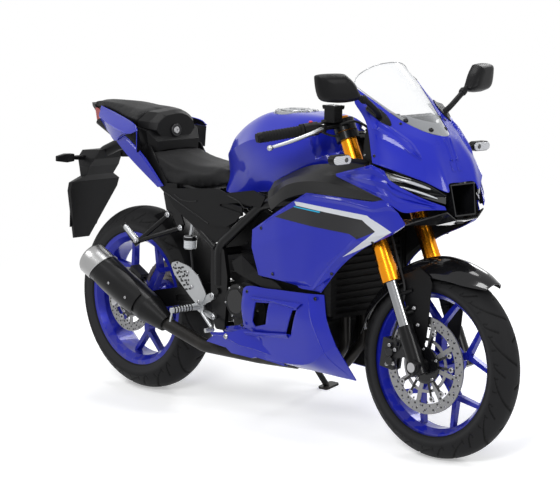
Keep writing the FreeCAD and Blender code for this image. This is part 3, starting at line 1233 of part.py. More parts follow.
stand_pin = rod(tab_at - stand_axis * 7, stand_pivot + stand_axis * (5 + fit_gap), 6)
stand_head = rod(stand_pivot + stand_axis * (5 + fit_gap), stand_pivot + stand_axis * 11, 10)
frame = fuse([frame, tab, stand_pin, stand_head])

indicators = Part.makeCompound(rear_lamps + front_lamps)
foot_controls = Part.makeCompound([*peg_brackets, fluid_cup])

chassis = {
    "tail_cowl": tail_cowl, "frame": frame, "seat_rails": seat_rails, "engine": engine, "chain": chain,
    "swingarm": swingarm,
    "rear_axle": rear_axle_bar, "rear_caliper": caliper_rear, "chain_guard": chain_guard,
    "rear_shock": rear_shock, "exhaust": exhaust, "muffler": muffler, "radiator": radiator,
    "fuel_tank": tank_body, "filler_ring": cap_ring, "rider_seat": rider_seat, "pillion_seat": pillion_seat,
    "tail_top": tail_top, "tail_light": tail_light, "plate_holder": plate_holder,
    "cowl_stay": cowl_stay, "instruments": instruments, "nose_duct": nose_duct, "headlights": headlights,
    "upper_cowl": upper_cowl, "windscreen": windscreen, "side_fairings": side_fairings,
    "wing_trims": wing_trims, "belly_pan": belly_pan, "indicators": indicators, "mirrors": mirrors,
    "side_covers": side_covers, "foot_controls": foot_controls, "pillion_brackets": pillion_brackets}
steering = {
    "fork_clamps": fork_clamps, "fork_outer": fork_outer, "fork_inner": Part.makeCompound(sliders),
    "front_axle": front_axle_bar, "fork_feet": Part.makeCompound(feet), "handlebars": handlebars,
    "handgrips": handgrips, "bar_controls": Part.makeCompound([switch_pods, *lever_perches]),
    "hand_levers": lever_blades, "front_caliper": caliper_front, "front_mudguard": front_guard}
front_wheel = {"rim_front": rim_front, "tyre_front": tyre_front, "disc_front": disc_front}
rear_wheel = {"rim_rear": rim_rear, "tyre_rear": tyre_rear, "disc_rear": disc_rear,
              "sprocket_rear": sprocket_rear}


def room_made(pieces):
    """Each piece gives way to the ones before it, where they would share space."""
    done = {}
    for name, shape in pieces.items():
        near = [solid for other in done.values() for solid in other.Solids
                if solid.BoundBox.intersect(shape.BoundBox)]
        for solid in near:
            left = shape.cut(solid)
            if left.Volume < shape.Volume - 0.01:
                shape = left
        done[name] = shape
    return done


# Resting pose: steering turned, machine leaned onto its stand, both tyres and the foot on the ground
def crown_radius(width, drop):
    return (width * width / 4 + drop * drop) / (2 * drop)


turned = FreeCAD.Rotation(steer_axis, rest_steer_deg)
steer_turn = FreeCAD.Placement(V(0, 0, 0), turned, steer_foot)
leaned = FreeCAD.Rotation(V(1, 0, 0), -lean_deg)


def lowest(centre, axle, radius, crown):
    return centre.z - (radius - crown) * math.sqrt(1 - axle.z ** 2) - crown


front_crown = crown_radius(front_tyre_width, front_crown_drop)
rear_crown = crown_radius(rear_tyre_width, rear_crown_drop)
low_front = lowest(leaned.multVec(steer_turn.multVec(front_axle)), leaned.multVec(turned.multVec(V(0, 1, 0))),
                   front_tyre_radius, front_crown)
low_rear = lowest(leaned.multVec(rear_axle), leaned.multVec(V(0, 1, 0)), rear_tyre_radius, rear_crown)
pitch = math.degrees(math.atan2(low_front - low_rear, wheelbase))
rested = FreeCAD.Rotation(V(0, 1, 0), pitch).multiply(leaned)
rear_now = rested.multVec(rear_axle)
raised = lowest(rear_now, rested.multVec(V(0, 1, 0)), rear_tyre_radius, rear_crown)
rest = FreeCAD.Placement(V(0, 0, -raised), rested)


def placed(shape, pose):
    moved = shape.copy()
    moved.transformShape(pose.toMatrix())
    return moved


nodes = {}
for name, shape in room_made(chassis).items():
    nodes[name] = placed(shape, rest)
for name, shape in {**room_made(steering), **front_wheel}.items():
    nodes[name] = placed(shape, rest.multiply(steer_turn))
for name, shape in rear_wheel.items():
    nodes[name] = placed(shape, rest)
nodes["fuel_cap"] = placed(fuel_cap, rest)
foot_now = rest.multVec(stand_foot)
pad = Part.makeBox(44, 62, 7, V(foot_now.x - 22, foot_now.y - 26, 0))
pad = pad.makeFillet(8, [e for e in pad.Edges if abs(e.Vertexes[0].Point.z - e.Vertexes[1].Point.z) > 1])
leg = placed(side_stand, rest)
leg = leg.cut(Part.makeBox(400, 400, 100, V(foot_now.x - 200, foot_now.y - 200, -100)))
nodes["side_stand"] = fuse([leg, pad])

box = FreeCAD.BoundBox()
for shape in nodes.values():
    box.add(shape.optimalBoundingBox(False))
home = V(-(box.XMin + box.XMax) / 2, -(box.YMin + box.YMax) / 2, 0)
os.makedirs("parts", exist_ok=True)
for name, shape in nodes.items():
    shape.translate(home)
    shape.exportStep("parts/" + name + ".step")
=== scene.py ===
"""Looks of a fully faired sport motorcycle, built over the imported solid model."""

import json
import math

import bmesh
import bpy
import numpy as np
from mathutils import Matrix, Vector


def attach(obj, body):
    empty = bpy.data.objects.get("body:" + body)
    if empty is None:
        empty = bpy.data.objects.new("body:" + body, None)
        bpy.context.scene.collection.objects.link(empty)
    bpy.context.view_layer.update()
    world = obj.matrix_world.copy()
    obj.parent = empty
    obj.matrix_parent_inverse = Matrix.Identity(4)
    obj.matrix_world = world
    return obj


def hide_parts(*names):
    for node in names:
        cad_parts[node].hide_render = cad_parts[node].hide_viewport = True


bl_info = {
    "name": "Sport Motorcycle Finish",
    "version": (1, 0, 0),
    "blender": (4, 5, 0),
    "location": "View3D > Sidebar > Motorcycle",
    "description": "Builds the painted panels, seats, tyres and small parts of a sport motorcycle",
    "category": "Object",
}

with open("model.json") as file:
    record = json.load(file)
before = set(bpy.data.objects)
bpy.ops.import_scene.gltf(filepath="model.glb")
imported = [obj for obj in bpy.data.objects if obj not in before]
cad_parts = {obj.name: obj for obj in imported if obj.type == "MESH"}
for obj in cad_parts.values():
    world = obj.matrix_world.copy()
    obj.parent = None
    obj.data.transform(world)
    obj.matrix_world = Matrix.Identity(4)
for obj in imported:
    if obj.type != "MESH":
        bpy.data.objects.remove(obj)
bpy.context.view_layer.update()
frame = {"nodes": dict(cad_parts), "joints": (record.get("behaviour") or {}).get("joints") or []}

CASTER = math.radians(25.0)
WHEELBASE = 1380.0
TRAIL = 95.0
REST_STEER = math.radians(3.6)
FRONT_AXLE = Vector((WHEELBASE / 2, 0, 293.0))
REAR_AXLE = Vector((-WHEELBASE / 2, 0, 314.0))
LOCK = math.radians(34.0)
FORK_AHEAD = 37.7
FORK_SIDE = 108.0
AXLE_ALONG = 305.7
STEER_FOOT = Vector((WHEELBASE / 2 + TRAIL, 0, 0))
STEER_AXIS = Vector((-math.sin(CASTER), 0, math.cos(CASTER)))
STEER_FORWARD = Vector((math.cos(CASTER), 0, math.sin(CASTER)))
MM = 0.001

# Places are in millimetres on the upright machine: x ahead, y to the left, z up from the ground


def joint(name):
    return next(j for j in frame["joints"] if j["name"] == name)


def upright_to_parked():
    """The matrix from the upright machine, in millimetres, to the parked one, in metres."""
    across = Vector(joint("rear_wheel_turn")["axis"]).normalized()
    stem = Vector(joint("steering_turn")["axis"]).normalized()
    ahead = across.cross(stem).normalized()
    fore = ahead * math.cos(CASTER) - stem * math.sin(CASTER)
    up = ahead * math.sin(CASTER) + stem * math.cos(CASTER)
    turn = Matrix((fore, across, up)).transposed()
    hub = Vector(joint("rear_wheel_turn")["pos_m"])
    return Matrix.Translation(hub - turn @ (REAR_AXLE * MM)) @ turn.to_4x4() @ Matrix.Scale(MM, 4)


PARKED = upright_to_parked()
STEERED = (PARKED @ Matrix.Translation(STEER_FOOT) @ Matrix.Rotation(REST_STEER, 4, STEER_AXIS)
           @ Matrix.Translation(-STEER_FOOT))


def steer_point(forward, side, along):
    """A point of the steering head: ahead of the stem, to the left, and up along it from the ground."""
    return STEER_FOOT + STEER_FORWARD * forward + Vector((0, side, 0)) + STEER_AXIS * along


# Shader maths


class Value:
    """A socket whose arithmetic adds Math nodes to its tree."""

    def __init__(self, tree, socket):
        self.tree, self.socket = tree, socket

    def _math(self, operation, other, turned=False):
        pair = {0: other, 1: self} if turned else {0: self, 1: other}
        return self.tree.add("ShaderNodeMath", {"operation": operation}, pair)

    def __add__(self, other):
        return self._math("ADD", other)

    __radd__ = __add__

    def __sub__(self, other):
        return self._math("SUBTRACT", other)

    def __rsub__(self, other):
        return self._math("SUBTRACT", other, True)

    def __mul__(self, other):
        return self._math("MULTIPLY", other)

    __rmul__ = __mul__

    def __gt__(self, other):
        return self._math("GREATER_THAN", other)


class Tree:
    """The nodes of one material."""

    def __init__(self, name):
        self.material = bpy.data.materials.new(name)
        self.material.use_nodes = True
        self.tree = self.material.node_tree
        self.tree.nodes.clear()

    def add(self, kind, settings=None, values=None, output=0):
        """Any node: its type, its settings, and the numbers or links of its sockets."""
        node = self.tree.nodes.new(kind)
        for key, value in (settings or {}).items():
            setattr(node, key, value)
        for key, value in (values or {}).items():
            socket = node.inputs[key]
            if isinstance(value, Value):
                self.tree.links.new(value.socket, socket)
            elif isinstance(value, tuple) and socket.type == "RGBA":
                socket.default_value = (*value, 1.0)
            else:
                socket.default_value = value
        return Value(self, node.outputs[output])

    def mix(self, share, a, b):
        return self.add("ShaderNodeMix", {"data_type": "RGBA"}, {0: share, 6: a, 7: b}, 2)

    def place(self):
        """Where the point is on the piece, in metres."""
        return self.add("ShaderNodeTexCoord", output=3)

    def upright(self):
        """Where the point is on the upright machine, in metres."""
        return self.add("ShaderNodeAttribute", {"attribute_name": "upright"}, output=1)

    def axis(self, vector, index):
        return self.add("ShaderNodeSeparateXYZ", values={0: vector}, output=index)

    def noise(self, scale, detail=3.0, stretch=None):
        vector = self.place()
        if stretch:
            vector = self.add("ShaderNodeVectorMath", {"operation": "MULTIPLY"}, {0: vector, 1: stretch})
        return self.add("ShaderNodeTexNoise", values={"Vector": vector, "Scale": scale, "Detail": detail})

    def cells(self, scale):
        return self.add("ShaderNodeTexVoronoi", values={"Vector": self.place(), "Scale": scale})

    def fade(self, value, start, end, low, high):
        """From low to high in a soft curve while the value goes from start to end."""
        return self.add("ShaderNodeMapRange", {"interpolation_type": "SMOOTHSTEP"},
                        {0: value, 1: start, 2: end, 3: low, 4: high})

    def bump(self, height, strength, distance=0.001):
        return self.add("ShaderNodeBump", values={"Strength": strength, "Distance": distance,
                                                  "Height": height})

    def bands(self, direction, scale):
        return self.add("ShaderNodeTexWave", {"bands_direction": direction},
                        {"Vector": self.place(), "Scale": scale})

    def plastic(self, **values):
        """The finished material of a Principled shader; an underline in a name stands for a space."""
        named = {key.replace("_", " "): value for key, value in values.items()}
        return self.finish(self.add("ShaderNodeBsdfPrincipled", values=named))

    def finish(self, shader):
        self.tree.links.new(shader.socket, self.tree.nodes.new("ShaderNodeOutputMaterial").inputs[0])
        return self.material


def shade(colour, factor):
    return tuple(min(1.0, c * factor) for c in colour)


def painted(name, colour, rough, metallic=0.0, coat=0.0, drift=0.12, grain=0.0, grain_scale=1400.0,
            scuffs=0.0,
            dust=0.0, mask=None, specular=0.5):
    """A finish with slow colour drift, a fine grain, light scuffs and a little dust low down."""
    t = Tree(name)
    cloud = t.noise(7.0, 4.0)
    base = t.mix(cloud, shade(colour, 1 - drift), shade(colour, 1 + drift))
    roughness = rough + (cloud - 0.5) * 0.12
    if mask:
        base = mask(t, base)
    if scuffs:
        lines = t.noise(60.0, 6.0, stretch=(1.0, 6.0, 9.0)) > 0.68
        roughness = roughness + lines * scuffs
        base = t.mix(lines * scuffs, base, shade(colour, 1.6))
    if dust:
        height = t.axis(t.place(), 2)
        low = (t.fade(height, 0.0, 0.34, 1.0, 0.0) * (t.noise(38.0, 6.0) > 0.5)) * dust
        base = t.mix(low, base, (0.16, 0.14, 0.12))
        roughness = roughness + low * 0.5
    relief = {"Normal": t.bump(t.noise(grain_scale, 2.0), grain, 0.0004)} if grain else {}
    return t.plastic(Base_Color=base, Roughness=roughness, Metallic=metallic, Coat_Weight=coat,
                     Coat_Roughness=0.04, Coat_IOR=1.38, Specular_IOR_Level=specular, **relief)


made_finishes = {}


def finish_of(name):
    """A finish by its name, made the first time that a piece asks for it."""
    if name not in made_finishes:
        made_finishes[name] = FINISHES[name]()
    return made_finishes[name]


# Mesh tools


def refined(points, parts, breaks=()):
    """The points with extra ones between them on a smooth curve, which turns sharply at the breaks."""
    pts = [Vector(p) for p in points]
    if parts == 1:
        return pts
    out = []
    for i in range(len(pts) - 1):
        a, b = pts[i], pts[i + 1]
        before = a * 2 - b if i == 0 or i in breaks else pts[i - 1]
        after = b * 2 - a if i + 2 >= len(pts) or i + 1 in breaks else pts[i + 2]
        for step in range(parts):
            t = step / parts
            out.append((a * 2 + (b - before) * t + (before * 2 - a * 5 + b * 4 - after) * t * t
                        + (a * 3 - before - b * 3 + after) * t ** 3) * 0.5)
    return out + [pts[-1]]


def turns(count, start=0.0):
    """Evenly spread angles of a full turn."""
    return [start + 2 * math.pi * k / count for k in range(count)]


def circle(centre, side, other, radius, count):
    return [centre + (side * math.cos(a) + other * math.sin(a)) * radius for a in turns(count)]


class Piece:
    """Collects the faces of one visual piece, given on the upright machine in millimetres."""

    def __init__(self, name, *finishes):
        self.name, self.finishes = name, finishes
        self.points, self.faces, self.marks = [], [], []

    def add(self, points, faces, finish=0):
        start = len(self.points)
        self.points += [Vector(p) for p in points]
        self.faces += [tuple(start + k for k in face) for face in faces]
        self.marks += [finish] * len(faces)
        return self

    def grid(self, rows, finish=0, closed=False, caps=False):
        """Quads over rows of points; closed joins each row's ends, caps fills the first and last row."""
        wide = len(rows[0])
        points = [p for row in rows for p in row]
        faces = []
        for i in range(len(rows) - 1):
            for j in range(wide if closed else wide - 1):
                k = (j + 1) % wide
                faces.append((i * wide + j, i * wide + k, (i + 1) * wide + k, (i + 1) * wide + j))
        if caps:
            faces.append(tuple(range(wide))[::-1])
            faces.append(tuple((len(rows) - 1) * wide + j for j in range(wide)))
        return self.add(points, faces, finish)

    def lathe(self, start, end, profile, sides=24, finish=0):
        """A body turned about the line from start towards end; the profile gives (distance along, radius)."""
        start, end = Vector(start), Vector(end)
        way = (end - start).normalized()
        side = way.orthogonal().normalized()
        rows = [circle(start + way * along, side, way.cross(side), radius, sides) for along,
                radius in profile]
        return self.grid(rows, finish, closed=True, caps=True)

    def rod(self, start, end, radius, sides=20, finish=0, edge=None):
        long = (Vector(end) - Vector(start)).length
        edge = min(radius * 0.25, long * 0.3) if edge is None else edge
        return self.lathe(start, end, [(0, radius - edge), (edge, radius), (long - edge, radius),
                                       (long, radius - edge)], sides, finish)

    def tube(self, path, radius, sides=12, finish=0, parts=6):
        """A round tube along a smooth curve through the points."""
        line = refined(path, parts)
        rows, side = [], None
        for i, p in enumerate(line):
            way = (line[min(i + 1, len(line) - 1)] - line[max(i - 1, 0)]).normalized()
            across = side - way * side.dot(way) if side else way.orthogonal()
            side = across.normalized()
            r = radius(i / (len(line) - 1)) if callable(radius) else radius
            rows.append(circle(p, side, way.cross(side), r, sides))
        return self.grid(rows, finish, closed=True, caps=True)

    def slab(self, outline, offset, finish=0):
        """A plate between an outline and the same outline moved by the offset."""
        count = len(outline)
        first = [Vector(p) for p in outline]
        second = [p + Vector(offset) for p in first]
        faces = [(i, (i + 1) % count, (i + 1) % count + count, i + count) for i in range(count)]
        faces.append(tuple(range(count))[::-1])
        faces.append(tuple(range(count, 2 * count)))
        return self.add(first + second, faces, finish)

    def bolt(self, at, axis, radius=5.0, height=3.5, finish=0):
        """A button-head bolt with a hexagon socket."""
        at, axis = Vector(at), Vector(axis).normalized()
        side = axis.orthogonal().normalized()
        other = axis.cross(side)
        count = 24
        rows = []
        for out, up, hexagon in ((1, 0, False), (0.96, 0.5, False), (0.72, 1, False), (0.5, 1.02, True),
                                 (0.46, 0.4, True)):
            row = []
            for a in turns(count):
                flat = math.cos(math.pi / 6) / math.cos((a % (math.pi / 3)) - math.pi / 6) if hexagon else 1
                row.append(at + axis * (height * up)
                           + (side * math.cos(a) + other * math.sin(a)) * (radius * out * flat))
            rows.append(row)
        self.grid(rows, finish, closed=True)
        self.faces.append(tuple(range(len(self.points) - count, len(self.points))))
        self.marks.append(finish)
        return self

    def mirrored(self):
        """Adds the same faces on the other side of the machine."""
        start = len(self.points)
        self.points += [Vector((p.x, -p.y, p.z)) for p in self.points]
        self.faces += [tuple(start + k for k in face[::-1]) for face in self.faces]
        self.marks += list(self.marks)
        return self

    def made(self, body, steered=False, sharp=32.0, shell=0.0, bevel=0.0, slot=None, stands_for=(),
             outward=None, lining=0):
        """The mesh object, in place on its body.

        outward is None for faces that Blender turns outwards, False for faces as they are, or their side.
        """
        mesh = bpy.data.meshes.new(self.name)
        mesh.from_pydata([tuple(p) for p in self.points], [], self.faces)
        for finish in self.finishes:
            mesh.materials.append(finish_of(finish))
        mesh.polygons.foreach_set("material_index", self.marks)
        b = bmesh.new()
        b.from_mesh(mesh)
        bmesh.ops.remove_doubles(b, verts=b.verts, dist=0.02)
        if outward is None:
            bmesh.ops.recalc_face_normals(b, faces=b.faces)
        elif outward and sum((f.normal * f.calc_area() for f in b.faces), Vector()).dot(Vector(outward)) < 0:
            bmesh.ops.reverse_faces(b, faces=b.faces)
        for edge in b.edges:
            edge.smooth = len(edge.link_faces) == 2 and edge.calc_face_angle(0.0) < math.radians(sharp)
        b.to_mesh(mesh)
        b.free()
        spot = np.array([tuple(v.co) for v in mesh.vertices], np.float32)
        note = mesh.attributes.new("upright", "FLOAT_VECTOR", "POINT")
        note.data.foreach_set("vector", (spot * MM).ravel())
        mesh.transform(STEERED if steered else PARKED)
        mesh.polygons.foreach_set("use_smooth", [True] * len(mesh.polygons))
        obj = bpy.data.objects.new(self.name, mesh)
        bpy.context.scene.collection.objects.link(obj)
        if shell:
            solid = obj.modifiers.new("Shell", "SOLIDIFY")
            solid.thickness, solid.offset = shell * MM, -1.0
            solid.material_offset = lining
        if bevel:
            edge_round = obj.modifiers.new("Rounded edges", "BEVEL")
            edge_round.width, edge_round.segments = bevel * MM, 2
            edge_round.limit_method, edge_round.angle_limit = "ANGLE", math.radians(24)
        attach(obj, body)
        if stands_for:
            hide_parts(*stands_for)
        return obj


def panel_rows(columns, along, across, whole=False, breaks=(), folds=()):
    """The rows of a moulded panel from its columns of points, as fine as asked."""
    if whole:
        columns = columns + [[(x, -y, z) for x, y, z in column] for column in columns[-2::-1]]
    columns = [refined(column, across, breaks) for column in columns]
    return [refined(list(row), along, folds) for row in zip(*columns)]


def on_panel(rows, u, v):
    """A point on a right-hand panel by its shares along and down, and the panel's outward side there."""
    u, v = min(max(u, 0), 1), min(max(v, 0), 1)
    i = min(v * (len(rows) - 1), len(rows) - 1.001)
    j = min(u * (len(rows[0]) - 1), len(rows[0]) - 1.001)
    a, b = int(i), int(j)
    p = rows[a][b].lerp(rows[a][b + 1], j - b)
    q = rows[a + 1][b].lerp(rows[a + 1][b + 1], j - b)
    spot = p.lerp(q, i - a)
    normal = (rows[a][b + 1] - rows[a][b]).cross(rows[a + 1][b] - rows[a][b]).normalized()
    return spot, normal if normal.y < 0 else -normal


def panel_bolts(name, rows, places, radius):
    """Black bolts on both sides of the machine, at shares along and down a panel."""
    bolts = Piece(name, "black bolt")
    for u, v in places:
        spot, normal = on_panel(rows, u, v)
        bolts.bolt(spot - normal * 0.5, normal, radius, 3.0)
    bolts.mirrored().made("chassis")


# Finishes


def inside(t, corners):
    """1 inside a convex outline of (ahead, up) corners on the upright machine's side, in millimetres."""
    place = t.upright()
    x, z = t.axis(place, 0), t.axis(place, 2)
    middle = (sum(c[0] for c in corners) / len(corners), sum(c[1] for c in corners) / len(corners))
    share = 1.0
    for (ax, az), (bx, bz) in zip(corners, corners[1:] + corners[:1]):
        nx, nz = bz - az, ax - bx
        if nx * (middle[0] - ax) + nz * (middle[1] - az) < 0:
            nx, nz = -nx, -nz
        share = ((x * nx + z * nz - (nx * ax + nz * az) * MM) > 0) * share
    return share


SILVER = (0.62, 0.64, 0.68)
BAND = (0.012, 0.012, 0.014)
CYAN = (0.01, 0.36, 0.6)


def side_graphics(t, base):
    """A black band under a silver arrow, with a thin pale blue line."""
    parts = ((((168, 701), (269, 748), (548, 734), (486, 682)), BAND),
             (((548, 734), (486, 682), (512, 668), (590, 700)), BAND),
             (((267, 747), (262, 760), (569, 748), (548, 732)), SILVER),
             (((569, 748), (647, 703), (590, 696), (548, 732)), SILVER),
             (((590, 702), (647, 703), (444, 605)), SILVER),
             (((255, 744.5), (258, 741), (371, 735.5), (376, 739.5)), CYAN))
    for corners, colour in parts:
        base = t.mix(inside(t, list(corners)), base, colour)
    return base


def paint_colour():
    return tuple(bpy.context.scene.motorcycle_colours.paint)


def fork_colour():
    return tuple(bpy.context.scene.motorcycle_colours.fork)


def body_paint(name, **more):
    return painted(name, paint_colour(), 0.3, coat=0.55, drift=0.05, specular=0.1, **more)


def seat_vinyl():
    """Soft vinyl with a leather-like grain."""
    t = Tree("seat_vinyl")
    cells = t.cells(520.0)
    cloud = t.noise(9.0, 4.0)
    base = t.mix(cloud, (0.0045, 0.0045, 0.005), (0.009, 0.009, 0.0095))
    base = t.mix(cells * 0.25, base, (0.007, 0.007, 0.0075))
    normal = t.bump(cells + t.noise(900.0, 3.0) * 0.5, 0.35, 0.0006)
    return t.plastic(Base_Color=base, Roughness=0.52 + (cloud - 0.5) * 0.15, Normal=normal,
                     Specular_IOR_Level=0.16)


def tyre_rubber():
    """Rubber, with painted shade darkening the grooves and the pressed ring on the side wall, and greyer on
    the side walls.
    """
    t = Tree("tyre_rubber")
    tread = t.add("ShaderNodeAttribute", {"attribute_name": "groove"}, output=2)
    cloud = t.noise(16.0, 5.0)
    base = t.mix(cloud, (0.011, 0.011, 0.0115), (0.016, 0.016, 0.017))
    base = t.mix(tread * -1.0, base, (0.03, 0.03, 0.031))
    # Painted shade: the groove share darkens the rubber almost to black in the grooves
    base = t.mix(tread, base, (0.0008, 0.0008, 0.0008))
    return t.plastic(Base_Color=base, Roughness=0.6 + (cloud - 0.5) * 0.2, Specular_IOR_Level=0.09,
                     Normal=t.bump(t.noise(1500.0, 2.0), 0.2, 0.0005))


def turned_steel():
    """Ground disc steel with a fine grain."""
    t = Tree("turned_steel")
    grain = t.noise(400.0, 3.0, stretch=(1.0, 0.2, 1.0))
    base = t.mix(grain, (0.19, 0.19, 0.195), (0.3, 0.3, 0.305))
    return t.plastic(Base_Color=base, Metallic=1.0, Roughness=0.3 + grain * 0.15,
                     Normal=t.bump(grain, 0.08, 0.0003))


def see_through(name, colour, share):
    """A clear plastic, mixed with plain transparency so that what is behind it shows."""
    t = Tree(name)
    cloud = t.noise(20.0, 3.0)
    gloss = t.add("ShaderNodeBsdfPrincipled", values={
        "Base Color": t.mix(cloud, shade(colour, 0.96), colour), "Roughness": 0.03 + cloud * 0.02,
        "Specular IOR Level": 0.6})
    clear = t.add("ShaderNodeBsdfTransparent", values={"Color": (1.0, 1.0, 1.0)})
    edge = t.add("ShaderNodeLayerWeight", values={"Blend": 0.35}, output=1)
    return t.finish(t.add("ShaderNodeMixShader", values={0: edge * 0.55 + share, 1: clear, 2: gloss}))


def ribbed_lens(name, colour):
    """A lamp lens with its moulded ribs."""
    t = Tree(name)
    ribs = t.bands("Z", 60.0)
    return t.plastic(Base_Color=t.mix(ribs, shade(colour, 0.75), colour), Roughness=0.08 + ribs * 0.05,
                     Coat_Weight=1.0, Normal=t.bump(ribs, 0.2, 0.001))


def radiator_core():
    """Fine fins between flat tubes."""
    t = Tree("radiator_core")
    fins, tubes = t.bands("Y", 90.0), t.bands("Z", 24.0)
    base = t.mix(fins * tubes, (0.0015, 0.0015, 0.0015), (0.005, 0.005, 0.0055))
    return t.plastic(Base_Color=base, Specular_IOR_Level=0.1, Roughness=0.5 + fins * 0.1,
                     Normal=t.bump(fins + tubes, 0.15, 0.001))


FINISHES = {
    "paint": lambda: body_paint("blue_paint", dust=0.1),
    "side paint": lambda: body_paint("side_paint", mask=side_graphics),
    "wheel paint": lambda: painted("wheel_paint", shade(paint_colour(), 0.95), 0.3, metallic=0.2, coat=0.4,
                                   specular=0.2, drift=0.08, dust=0.25),
    "seat": seat_vinyl,
    "satin black": lambda: painted("satin_black_plastic", (0.005, 0.005, 0.0055), 0.42, drift=0.2, grain=0.16,
                                   scuffs=0.05, dust=0.06, specular=0.12),
    "trim black": lambda: painted("trim_black_plastic", (0.009, 0.009, 0.0095), 0.3, drift=0.18, grain=0.1,
                                  specular=0.16),
    "gloss black": lambda: painted("gloss_black", (0.006, 0.006, 0.007), 0.2, coat=0.8, drift=0.2, dust=0.05,
                                   specular=0.1),
    "frame black": lambda: painted("frame_black", (0.004, 0.004, 0.0045), 0.3, specular=0.14, coat=0.1,
                                   drift=0.2,
                                   grain=0.05, scuffs=0.12, dust=0.12),
    "engine black": lambda: painted("cast_engine_black", (0.009, 0.009, 0.0095), 0.42, specular=0.14,
                                    metallic=0.1,
                                    drift=0.3, grain=0.5, grain_scale=700.0, scuffs=0.1, dust=0.15),
    "fork gold": lambda: painted("gold_anodised", fork_colour(), 0.24, metallic=1.0, drift=0.08, grain=0.03),
    "chrome": lambda: painted("hard_chrome", (0.27, 0.275, 0.285), 0.14, metallic=1.0, drift=0.05),
    "alloy": lambda: painted("bare_alloy", (0.4, 0.41, 0.42), 0.36, metallic=1.0, drift=0.1, grain=0.15,
                             scuffs=0.1),
    "silver cap": lambda: painted("silver_cap", (0.36, 0.36, 0.36), 0.3, metallic=1.0, drift=0.12, grain=0.1),
    "disc steel": turned_steel,
    "axle steel": lambda: painted("axle_steel", (0.42, 0.42, 0.43), 0.3, metallic=1.0, drift=0.1, scuffs=0.1),
    "chain steel": lambda: painted("chain_steel", (0.22, 0.2, 0.17), 0.4, metallic=1.0, drift=0.3, grain=0.2),
    "bolt steel": lambda: painted("zinc_bolts", (0.36, 0.36, 0.37), 0.28, metallic=1.0, drift=0.15),
    "black bolt": lambda: painted("black_bolts", (0.03, 0.03, 0.032), 0.35, metallic=0.8, drift=0.2),
    "pipe steel": lambda: painted("pipe_steel", (0.02, 0.019, 0.018), 0.36, metallic=0.5, specular=0.2,
                                  drift=0.5,
                                  grain=0.1, dust=0.2),
    "muffler black": lambda: painted("muffler_black", (0.007, 0.007, 0.0075), 0.3, specular=0.18, drift=0.2,
                                     grain=0.06, dust=0.1),
    "caliper": lambda: painted("caliper_black", (0.014, 0.014, 0.015), 0.34, specular=0.25, drift=0.25,
                               grain=0.2,
                               scuffs=0.15),
    "rubber": lambda: painted("grip_rubber", (0.007, 0.007, 0.0075), 0.72, drift=0.2, grain=0.4,
                              specular=0.15),
    "hose": lambda: painted("hose_black", (0.014, 0.014, 0.015), 0.5, drift=0.15, grain=0.1, specular=0.2),
    "tyre": tyre_rubber,
    "screen": lambda: see_through("clear_screen", (0.78, 0.8, 0.82), 0.06),
    "screen edge": lambda: see_through("grey_screen_edge", (0.32, 0.33, 0.34), 0.62),
    "mirror glass": lambda: painted("mirror_glass", (0.7, 0.72, 0.74), 0.03, metallic=1.0, drift=0.03),
    "clear lens": lambda: ribbed_lens("clear_lens", (0.62, 0.64, 0.66)),
    "red lens": lambda: ribbed_lens("red_lens", (0.35, 0.006, 0.008)),
    "dark lens": lambda: painted("smoked_lens", (0.008, 0.008, 0.009), 0.08, coat=1.0, drift=0.2),
    "lamp silver": lambda: ribbed_lens("lamp_silver", (0.55, 0.56, 0.58)),
    "red switch": lambda: painted("red_switch", (0.6, 0.01, 0.03), 0.35, drift=0.15, grain=0.1),
    "dial glass": lambda: painted("dial_glass", (0.01, 0.011, 0.013), 0.06, coat=1.0, drift=0.1),
    "radiator core": radiator_core,
}

# What each solid that stays in view is finished with
CARRIED = {
    "frame": "frame black", "seat_rails": "frame black", "engine": "engine black", "chain": "chain steel",
    "swingarm": "frame black", "rear_axle": "axle steel", "rear_caliper": "caliper",
    "chain_guard": "satin black",
    "rear_shock": "frame black", "exhaust": "pipe steel", "muffler": "muffler black",
    "radiator": "radiator core",
    "filler_ring": "alloy", "tail_top": "satin black", "tail_light": "red lens",
    "plate_holder": "satin black",
    "cowl_stay": "satin black", "instruments": "satin black", "nose_duct": "gloss black",
    "headlights": "dark lens", "indicators": "clear lens", "mirrors": "satin black",
    "side_covers": "satin black",
    "foot_controls": "alloy", "pillion_brackets": "frame black", "fork_clamps": "frame black",
    "fork_outer": "fork gold", "fork_inner": "chrome", "front_axle": "axle steel", "fork_feet": "frame black",
    "handlebars": "frame black", "handgrips": "rubber", "bar_controls": "satin black", "hand_levers": "alloy",
    "front_caliper": "caliper", "rim_front": "wheel paint", "disc_front": "disc steel",
    "rim_rear": "wheel paint", "disc_rear": "disc steel", "sprocket_rear": "chain steel", "fuel_cap": "alloy",
    "side_stand": "frame black", "fuel_tank": "paint", "rider_seat": "seat", "pillion_seat": "seat",
    "tail_cowl": "paint", "upper_cowl": "paint", "windscreen": "screen", "side_fairings": "paint",
    "wing_trims": "trim black", "belly_pan": "paint", "front_mudguard": "gloss black", "tyre_front": "tyre",
    "tyre_rear": "tyre",
}


# Edge rounding of the moulded solids, in millimetres
ROUNDED = {"plate_holder": 4.0, "tail_top": 7.0, "side_covers": 1.0, "pillion_brackets": 1.0}


def carry_solids():
    """Gives every solid of the model its finish."""
    for name, obj in frame["nodes"].items():
        finish = finish_of(CARRIED[name])
        if not obj.material_slots:
            obj.data.materials.append(finish)
        for place in obj.material_slots:
            place.material = finish
        if name in ROUNDED:
            weld = obj.modifiers.new("Joined points", "WELD")
            weld.merge_threshold = 0.00002
            edge = obj.modifiers.new("Rounded edges", "BEVEL")
            edge.width, edge.segments, edge.limit_method = ROUNDED[name] * MM, 2, "ANGLE"
            edge.angle_limit = math.radians(18)


# Camera, floor and light


